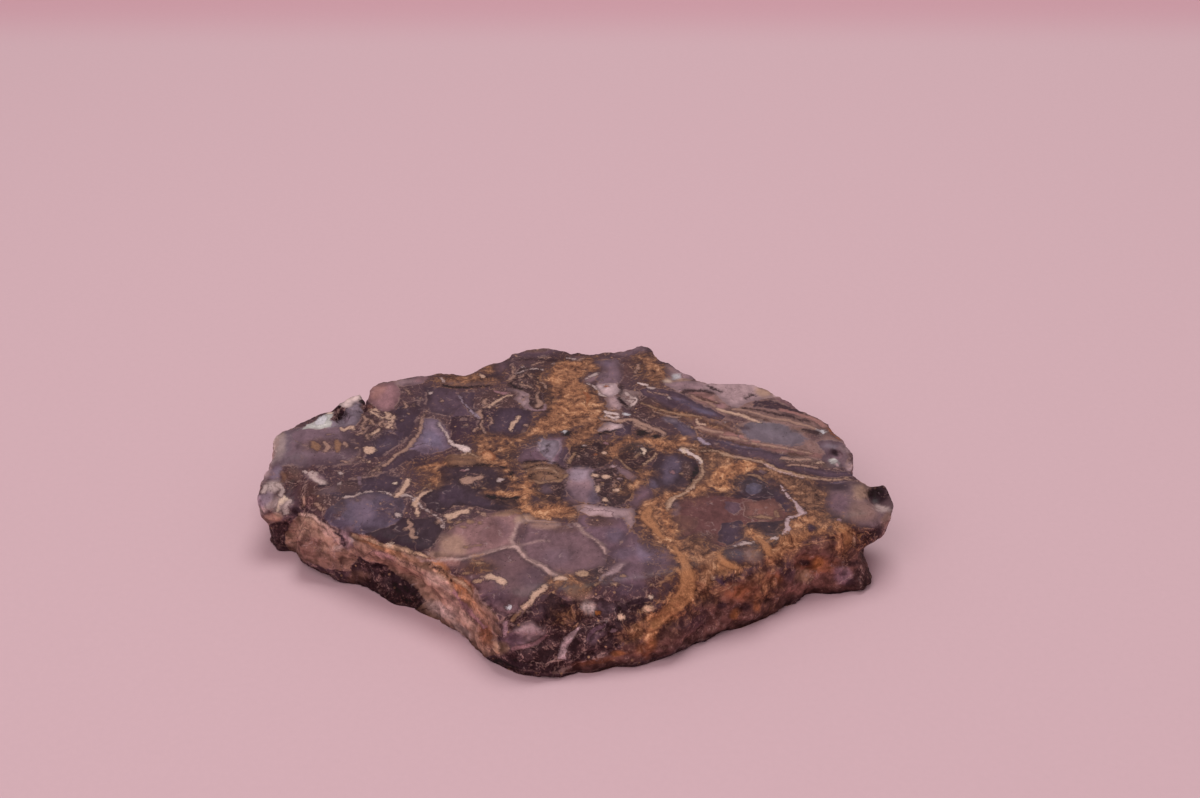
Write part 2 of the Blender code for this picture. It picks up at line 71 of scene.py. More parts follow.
# Colours as seen in soft light, 0 to 255, and how mossy a place of that colour is, 0 to 1.
PALETTE = {
    "plum": (84, 62, 68, 0.6),
    "dark plum": (66, 48, 58, 0.5),
    "night": (61, 47, 54, 0.12),
    "dusk": (73, 57, 69, 0.2),
    "slate": (94, 79, 94, 0.15),
    "haze": (114, 90, 99, 0.12),
    "blue": (106, 97, 120, 0.05),
    "violet": (83, 64, 75, 0.2),
    "mauve": (114, 86, 97, 0.15),
    "lavender": (121, 100, 116, 0.05),
    "pale lavender": (157, 136, 149, 0),
    "lilac": (140, 110, 116, 0.08),
    "pale lilac": (168, 137, 140, 0.03),
    "pink": (146, 106, 110, 0.05),
    "warm pink": (154, 110, 104, 0.12),
    "shell": (212, 184, 180, 0),
    "frost": (198, 190, 194, 0),
    "white": (222, 216, 210, 0),
    "chalk": (186, 160, 156, 0.05),
    "fawn": (162, 126, 112, 0.1),
    "cream": (198, 160, 140, 0),
    "pale cream": (216, 186, 168, 0),
    "tan": (152, 116, 94, 0.3),
    "sand": (172, 136, 114, 0.2),
    "umber": (88, 62, 56, 0.75),
    "moss": (76, 56, 56, 0.9),
    "bark": (116, 84, 72, 0.6),
    "dark brown": (58, 42, 44, 0.6),
    "coal": (36, 26, 30, 0.1),
    "rust": (140, 84, 58, 0.3),
    "orange": (184, 116, 72, 0.1),
    "rind": (148, 112, 98, 0.25),
    "pale rind": (178, 142, 132, 0.15),
    "red brown": (98, 66, 61, 0.35),
    "grey": (110, 86, 90, 0.2),
    "mist": (130, 113, 124, 0),
    "steel": (99, 89, 107, 0.05),
    "glass": (127, 112, 122, 0),
    "milk": (190, 160, 163, 0),
    "grit": (160, 130, 128, 0.35),
    "rosy": (134, 102, 97, 0.35),
    "hazel": (134, 98, 78, 0.25),
    "copper": (122, 82, 75, 0.3),
    "soot": (54, 38, 40, 0.5),
    "blush": (188, 152, 146, 0),
    "rosewood": (140, 103, 103, 0.05),
    "mallow": (112, 84, 90, 0.05),
    "damson": (106, 78, 82, 0.1),
    "garnet": (98, 63, 62, 0.15),
    "honey": (164, 112, 80, 0),
    "amber": (190, 134, 100, 0.1),
}

# Ramps: colours of the moss and the gold from their shaded grains to their lit ones, and of the underside.
COOL_MOSS = ((0.14, (28, 19, 24)), (0.42, (57, 40, 44)), (0.66, (93, 67, 66)), (0.88, (158, 122, 112)))
WARM_MOSS = ((0.14, (30, 20, 22)), (0.42, (61, 41, 39)), (0.66, (104, 72, 58)), (0.88, (164, 119, 92)))
BROWN_HAZE = ((0.2, (50, 34, 32)), (0.5, (92, 63, 52)), (0.8, (138, 98, 75)))
OLIVE_GOLD = ((0.12, (52, 36, 33)), (0.42, (98, 69, 58)), (0.64, (136, 97, 77)), (0.9, (182, 139, 112)))
OCHRE_GOLD = ((0.08, (78, 50, 42)), (0.36, (136, 89, 65)), (0.62, (178, 122, 87)), (0.92, (220, 168, 130)))
UNDERSIDE = ((0.36, (62, 48, 58)), (0.45, (86, 64, 70)), (0.5, (116, 90, 96)), (0.55, (82, 60, 62)),
             (0.64, (138, 104, 102)))

# Other colours of the stone's fine marks.
FRACTURE = (186, 160, 158)
COOL_LINE, WARM_LINE = (142, 112, 106), (158, 112, 78)
CELL_SHADE = (50, 36, 40)
FLECK, DUST = (168, 128, 100), (54, 36, 38)
GOLD_THREAD = (62, 40, 34)
MARK_RIM = (48, 32, 32)

# Cells of the stone: colour, softness of the edge, corners.
CELLS = (
    # west
    ("haze", 1.5, (-57, 12.5), (-54, 14), (-51, 13.5), (-47.5, 15.5), (-43, 13), (-42.5, 9), (-41, 5),
     (-42, 1), (-50, 0.5), (-57, 1)),
    ("mist", 0.8, (-47.8, 16.8), (-46, 16), (-44.6, 20.5), (-43.4, 22.6), (-41.8, 22.4), (-41.6, 18.5),
     (-41.9, 14.8), (-45.5, 14), (-48, 13.6)),
    ("white", 0.6, (-52.6, 13.2), (-50.6, 16.4), (-48.6, 18.8), (-46.9, 19.3), (-46.9, 17.6), (-47.4, 16.6),
     (-47.3, 15), (-47.8, 14), (-49, 13.3), (-50.6, 13.2)),
    ("shell", 0.4, (-46.6, 21.6), (-46.2, 23.6), (-45, 25.6), (-43.4, 26.3), (-42.2, 26), (-42, 23.8),
     (-43.1, 22.4), (-44, 20.9), (-45.2, 20.8)),
    ("pink", 0.6, (-40.9, 29.2), (-36.2, 30.6), (-35, 27), (-35.2, 20.4), (-37, 19.6), (-38.8, 20),
     (-40, 21.4), (-41.3, 24), (-41.3, 26.5)),
    ("lilac", 0.6, (-36.2, 30.6), (-31, 33), (-30.4, 30.4), (-34.4, 28.6)),
    ("dusk", 1, (-34.8, 20.5), (-31, 24), (-30.6, 18), (-32, 10), (-36.5, 4), (-39.5, 5.5), (-39, 10),
     (-37.4, 12.5), (-34.8, 12.8)),
    ("dusk", 1, (-38.6, 9.2), (-36.6, 12.4), (-33.4, 11), (-34, 7), (-37.4, 3.6), (-40, 3), (-39.6, 6)),
    ("violet", 0.8, (-30.6, 28.4), (-24, 28.4), (-21, 22), (-18.4, 15), (-20, 9.8), (-22, 11.6),
     (-24.6, 17.6), (-28.6, 19), (-29.4, 22)),
    ("lavender", 0.5, (-29.4, 17.2), (-26.6, 16.4), (-25.2, 12.2), (-24.3, 8.6), (-23.6, 7.2), (-25.4, 5.6),
     (-28.4, 4.4), (-32.4, 4.2), (-31.6, 8), (-30, 11)),
    ("violet", 1.2, (-31.4, 6), (-28, 5), (-30.4, 2.6), (-34.6, -1.6), (-38, -2), (-36.4, 1.4), (-33.6, 4)),
    ("dark plum", 0.5, (-24.2, 17.2), (-19.6, 18.4), (-18.4, 12), (-19.4, 8), (-20.6, 7.8), (-22.2, 7.6),
     (-24.2, 9.8)),
    ("violet", 0.6, (-23.8, 26.6), (-20.6, 26.8), (-20, 21), (-19.2, 16.6), (-21.4, 19.6)),
    # the dished blue cell and the violet end of the stone
    ("dusk", 1.2, (-45, -6), (-40, -3), (-35, -2), (-31.4, -4), (-33, -8), (-38, -8), (-42, -10),
     (-46, -9)),
    ("slate", 0.7, (-45.4, -14), (-42.2, -10.4), (-39.6, -9.4), (-37.8, -7.8), (-34, -8.4), (-31.6, -10),
     (-30.4, -13), (-31.4, -17), (-33.4, -19), (-37, -21.6), (-40.4, -20.6), (-44, -17.6)),
    ("night", 0.6, (-37.4, -21.2), (-33.4, -18.8), (-31, -16), (-28.6, -16.4), (-25.4, -16), (-23.4, -19),
     (-25, -25), (-28, -27.4), (-32, -24.6)),
    ("grey", 0.8, (-47.8, -8.4), (-44.4, -5.4), (-42.8, -6), (-43.6, -8), (-46.4, -9)),
    # dark cell under the brown band
    ("night", 0.4, (-25, 0.3), (-22, 0.5), (-17, 0.2), (-14.5, 0), (-13, -2.5), (-12.3, -5), (-13, -7.5),
     (-16, -8), (-15.5, -9.4), (-12, -9.8), (-10.6, -11), (-10, -13.2), (-14, -13.6), (-16.5, -13),
     (-19, -12), (-22, -12.4), (-24, -15), (-27, -13), (-28, -10), (-26, -7), (-25, -4)),
    ("hazel", 0.6, (-25, 1.2), (-24, 4.6), (-21, 5.2), (-18.6, 5.4), (-16, 3), (-15.6, 0.9), (-24, 0.7)),
    # north
    ("dark plum", 1, (-18.6, 20.6), (-11, 21), (-9.4, 17), (-9.8, 12.4), (-12, 10.6), (-16.4, 10.6),
     (-19, 12.4), (-19.2, 16)),
    ("plum", 1, (-13.4, 43), (-7.2, 44.8), (-2.2, 42.4), (-1.8, 38.4), (-6.6, 36.4), (-8, 31),
     (-15.4, 30.4), (-17, 36)),
    ("mauve", 1, (-13.6, 40.6), (-11, 43), (-7.4, 43.9), (-4, 42.4), (-6, 41), (-10, 40.6)),
    ("dark brown", 0.6, (-12, 35.8), (-7.6, 36), (-7.2, 31), (-5.2, 27.6), (-4.4, 22.4), (-5.4, 19.8),
     (-8, 19.2), (-10.6, 20.6), (-11.4, 25.4), (-14.2, 29), (-13, 32)),
    ("pale lilac", 0.4, (-14.2, 28.3), (-12.8, 27.8), (-11, 27), (-9.6, 25.4), (-9.4, 22.6), (-8.8, 20.6),
     (-9.8, 20.4), (-10.8, 22), (-12.6, 24), (-12, 25.8), (-13.6, 27)),
    ("dusk", 0.7, (-16.4, 11.6), (-16.6, 16), (-15.4, 20.6), (-12, 21.4), (-9.2, 19.6), (-8.8, 15.4),
     (-9.6, 12.4), (-12.4, 10.6)),
    ("plum", 0.6, (5.6, 40), (6.8, 42.6), (12.6, 45.4), (14.6, 43.6), (15, 40.6), (11, 38), (8, 38)),
    ("haze", 0.7, (3.4, 38.6), (8, 39.4), (9.4, 36), (8.6, 31), (8.2, 29.4), (4, 29.6), (3.2, 31.6),
     (4.4, 34.6)),
    ("grit", 0.8, (8.4, 27.8), (9.6, 27.6), (11.6, 26.4), (12.2, 23.6), (11, 20.6), (9.4, 20.4),
     (8.2, 22.4), (8, 25)),
    ("milk", 0.4, (2.8, 28.8), (4.2, 30), (7.6, 29.8), (8.4, 27.6), (7.8, 25.6), (5.8, 24.6), (4.6, 25.4),
     (3.6, 27)),
    ("pale lilac", 0.4, (5.2, 24.6), (7.4, 25), (8.4, 22), (8, 20), (5.6, 19.8)),
    ("rosy", 0.6, (5, 19.8), (8.4, 20), (9.4, 17.8), (8.6, 16.8), (5, 17)),
    ("dusk", 0.4, (7, 13.4), (8.6, 14.6), (10.4, 14.4), (10.6, 11), (9, 10), (7, 10.6)),
    ("milk", 0.25, (4.2, 15.2), (6, 15.6), (8.8, 15.2), (8.4, 14), (7, 13), (6.6, 12), (5.6, 12.6),
     (4.9, 11.8), (4.1, 12)),
    # north-east shelf and stripes
    ("lilac", 0.5, (17.2, 37), (19.6, 36.6), (22.6, 34), (23.4, 32), (20.2, 30.4), (17.2, 31.6)),
    ("rosy", 1, (21.4, 26.4), (28, 26), (30, 21), (34, 24), (40, 24), (47, 16), (50.6, 8), (50.8, 2),
     (44, 2), (36, 6), (30, 9), (24, 12), (20, 18), (22, 22)),
    ("pale lilac", 0.5, (16.8, 29.6), (20, 30.8), (34.6, 30.6), (37, 28.4), (38.8, 26.4), (39.6, 24.6),
     (36, 24), (33, 23), (31, 21), (29.5, 21.5), (28, 24), (26.6, 26.8), (21, 27.2), (19.8, 26.4)),
    ("dark plum", 1, (34, 22.8), (37.6, 24), (41, 21.4), (44, 19), (42, 18.6), (38, 20.2), (34.6, 21.2)),
    ("pink", 0.5, (38.6, 24.6), (41.6, 24), (43.2, 22), (42.4, 20.8), (40.6, 22)),
    ("violet", 0.5, (12, 27.4), (14, 28.2), (17, 27.6), (20, 26.6), (21.6, 25), (23.6, 22), (26, 20),
     (29, 17.6), (27.6, 15.6), (24.4, 17.6), (21, 18.8), (18, 20.4), (15, 23), (12.6, 25.6)),
    ("slate", 0.5, (16.6, 17.6), (18.6, 17.2), (20.6, 15.2), (22.6, 12.6), (23.2, 9), (20.6, 9.4),
     (19.6, 12), (18, 14.6)),
    ("warm pink", 0.6, (21.6, 17.4), (23, 18), (26, 15.2), (29.6, 12.6), (33, 11), (36, 9), (40, 7),
     (44, 5.6), (46.6, 5.4), (45.6, 3.4), (41, 4.4), (36, 6), (31.6, 7.6), (28, 9.6), (23.6, 12.2),
     (22.2, 14.6)),
    ("glass", 1.8, (30.8, 14), (33, 15.4), (36, 16), (39, 14.8), (42, 12.6), (43.6, 10.2), (43, 8.2),
     (40, 7), (36, 8), (33, 10), (31, 12)),
    ("haze", 0.8, (45, 9), (47, 9.6), (50.2, 9), (50.6, 6), (50.6, 0), (46.4, 0.6), (45.4, 3), (46.6, 5)),
    ("violet", 0.4, (23.2, 10.6), (27.4, 8.6), (32, 6.6), (36, 5.6), (39.2, 4.4), (38.6, 2.6), (40.2, 0.6),
     (45, -0.4), (50.6, -1.2), (50.8, -3.2), (46, -3), (41.4, -1.9), (37, 0.2), (35, 1.9), (31, 3), (28, 4),
     (23.8, 6.4)),
    # middle
    ("hazel", 0.4, (-10.6, 0.8), (-8.4, 1.9), (-5.6, 1.8), (-3.4, 0.6), (-1.6, -1.2), (-1.4, -2.6),
     (-3, -4.4), (-5.6, -5), (-8, -4.6), (-9.2, -3.2), (-8.8, -1), (-10, -0.2)),
    ("mauve", 0.5, (-11.6, 3), (-10, 5.6), (-7.6, 7), (-6.6, 8.4), (-6.4, 9.8), (-4, 10.6), (-2, 10.4),
     (-1.6, 6), (-2.4, 0.8), (-4.5, 1.6), (-7, 1.9), (-10.5, 2)),
    ("mist", 0.3, (-6.4, 9.8), (-5.5, 9.2), (-3.6, 9.6), (-3.2, 6), (-4.2, 4), (-4.9, 1.6), (-5.6, 3),
     (-6.6, 4.6), (-7.2, 6.2), (-6.6, 7.6)),
    ("soot", 0.5, (-1.4, 7.6), (1.4, 9), (5, 9.2), (6.8, 8), (6.6, 5), (6.4, 2.6), (5, 0.4), (2, 0.1),
     (-1.8, 0.2), (-1.2, 4)),
    ("soot", 0.4, (8, 5), (9.5, 7.5), (11.5, 8.4), (13.5, 7.8), (15, 5), (14.5, 3.5), (12.8, 1), (12, -1.5),
     (10.5, -1), (8.5, 1.5), (7.6, 3.4)),
    ("night", 0.4, (15.2, 4.8), (18, 5.3), (20.5, 4.5), (22.2, 2.5), (22.9, 0), (22.4, -2.5), (21.2, -5),
     (20, -8), (18, -9.4), (15, -8.4), (13.2, -6.4), (12.8, -3), (14, -1), (14.6, 2)),
    ("dark brown", 0.4, (3, -1), (5, -0.3), (7, 0), (9, -2), (10.5, -4.5), (10.5, -7), (9.5, -10), (8, -12),
     (6, -12.5), (4.8, -11), (4.2, -8), (3.2, -5)),
    ("lilac", 0.4, (-2, -0.3), (2.7, -0.3), (3, -3), (3.6, -7), (4.3, -11.4), (1, -11), (-1.5, -9),
     (-1.8, -5), (-1.2, -2.5)),
    ("lilac", 0.3, (7.4, 0.3), (9, -0.4), (11, -3), (10.8, -4.8), (9.4, -3.6)),
    ("mauve", 0.5, (10.8, -5.4), (12.2, -5.5), (14, -8), (13.8, -10), (11.5, -13), (10, -13.6), (9.4, -12),
     (10.3, -9)),
    ("dark brown", 0.6, (-7.4, -5), (-2, -4.8), (-1.8, -9.2), (-2.4, -10.8), (-6.4, -10.6), (-7.8, -8)),
    ("pale lilac", 0.4, (-0.4, -12), (1.5, -11.5), (5, -12.7), (10.5, -13.4), (10.8, -17), (9.6, -19.4),
     (8.8, -16), (2, -15.4), (0.6, -14)),
    # pinkish cells of the front
    ("rosewood", 0.5, (-16, -14.4), (-12, -13.6), (-9.4, -15), (-8.4, -17.2), (-10.2, -24), (-15, -26.4),
     (-21, -28.2), (-24.6, -27.4), (-24, -23), (-21.6, -18.6)),
    ("mallow", 0.4, (-8.2, -17.4), (-4.6, -17.6), (0.4, -17.6), (5.2, -26.4), (5.4, -30), (2, -32),
     (-2.4, -33.2), (-8, -28.4), (-10, -24.6)),
    ("mauve", 0.4, (0.2, -17.4), (0.8, -14), (2.4, -15.4), (8.6, -16), (9.6, -19.6), (8, -24), (5.6, -26)),
    ("damson", 0.4, (-20, -28.6), (-15, -26.6), (-11, -24.8), (-8.4, -28.6), (-3.4, -33.6), (-5.4, -36),
     (-8.4, -42), (-11.4, -44.4), (-16, -39.4), (-17.4, -34.6), (-20.6, -32)),
    ("mauve", 0.7, (9.8, -19.6), (11.4, -22), (16.8, -26), (17.4, -31), (14.8, -35), (10, -37),
     (6.6, -34.6), (9, -30.4), (5.6, -26.6), (8, -24)),
    # the eye
    ("garnet", 0.5, (25.5, -8.4), (28.5, -8.5), (29, -5), (31, -2.8), (33.5, -3.2), (34.5, -5.7), (37, -6),
     (38.6, -9), (39.5, -11.8), (40.3, -14.5), (38.6, -15.6), (37.8, -17.5), (37.8, -19.5), (36, -21.5),
     (33, -20.6), (30.5, -20.3), (29.5, -23), (26, -25), (24, -24), (21, -23), (18.5, -21.5), (17.5, -17),
     (17, -13.5), (18.5, -11), (20.5, -9), (23, -8.5)),
    ("night", 0.5, (29, -3.6), (31, -2.8), (33.6, -3.2), (35, -5.6), (37, -6.2), (38.4, -9), (36, -10),
     (33, -10.6), (30, -9.6), (28.6, -8.4), (28.4, -5.6)),
    ("steel", 0.6, (30.8, -5.8), (32.6, -5), (34, -6), (33.8, -8.2), (32, -8.8), (30.8, -7.8)),
    ("dusk", 0.5, (36.4, -7), (38, -8), (39, -11), (39.6, -13.6), (38, -14.6), (36.6, -12), (35.8, -9.6)),
    ("mauve", 0.5, (26.8, -10.8), (29.6, -11.4), (30, -13.4), (28.6, -15.2), (27.2, -13.4)),
    ("copper", 0.5, (29.8, -10.6), (33, -10.6), (36, -10.6), (36.8, -13), (37.6, -15.4), (36, -16.6),
     (32, -16.4), (30, -15.4), (30.4, -13)),
    ("night", 0.4, (30.6, -17.4), (33, -17), (37, -17), (37.6, -19), (36.6, -20.8), (33, -20.4),
     (30.6, -20)),
    ("dusk", 0.6, (26, -17.4), (29.6, -17), (30.4, -20.2), (29.6, -22.6), (27, -24.4), (25, -23),
     (25.4, -20)),
    ("copper", 0.8, (17.6, -15.6), (19.8, -15.4), (22, -16), (21.6, -19), (19.6, -21), (18, -20.4)),
    ("umber", 0.5, (25.4, -25.6), (28.6, -24.4), (32.6, -25), (33.6, -27.6), (32.6, -30), (29.4, -30.8),
     (26.6, -29.2), (25, -27)),
    # the knob
    ("grey", 0.5, (45.2, -6), (50, -4.6), (53.4, -5), (57, -4.6), (57.8, -10), (56.6, -15), (54.6, -19),
     (51, -19.2), (48, -17), (45, -13.4)),
    # walls
    ("rind", 0.6, (-50.8, -19), (-50.2, -16), (-48.6, -14.4), (-47, -15.2), (-44, -18), (-41.8, -21),
     (-38.6, -25), (-36, -30), (-38, -32.6), (-44, -30.4), (-49, -27), (-51.4, -23)),
    ("dark brown", 0.6, (-54.8, -17.6), (-51, -16), (-50.8, -24.6), (-54, -23.4)),
    ("rind", 0.5, (-39.4, -21), (-36, -22.6), (-31.6, -24.6), (-27, -27.4), (-22, -32), (-17.6, -35.4),
     (-15.4, -40.4), (-12.8, -43.4), (-12.4, -48), (-12, -54), (-14.4, -54.6), (-20, -50), (-27, -42),
     (-30, -36), (-36, -29), (-38.6, -25.4)),
    # painted shade: this cell darkens the hollow under the south-west ledge
    ("dark brown", 0.7, (-37.4, -27.6), (-33.6, -29.4), (-30.4, -32.4), (-27, -36), (-24.8, -40),
     (-26.4, -42.6), (-31, -41.4), (-36.4, -35.6), (-39, -31.4)),
    ("dark brown", 0.8, (-12, -44.4), (-8, -43), (-5, -40), (-4, -37.4), (-1, -40.4), (3, -39),
     (9.6, -41.4), (13, -40.6), (11.6, -45), (7.6, -52), (0, -57), (-4, -59), (-12, -57), (-12.4, -50)),
    ("red brown", 0.7, (12.6, -45), (16.8, -44.6), (21, -40.6), (26, -36.6), (30, -33), (34, -28.6),
     (37.6, -25), (45, -22.6), (50, -26), (51.8, -32), (50, -37.4), (43, -38.6), (37, -39.6), (33, -44.8),
     (28, -47.4), (21, -50.4), (14, -54.8), (6, -57.8), (-3, -59), (1.6, -56), (8, -52.6)),
)

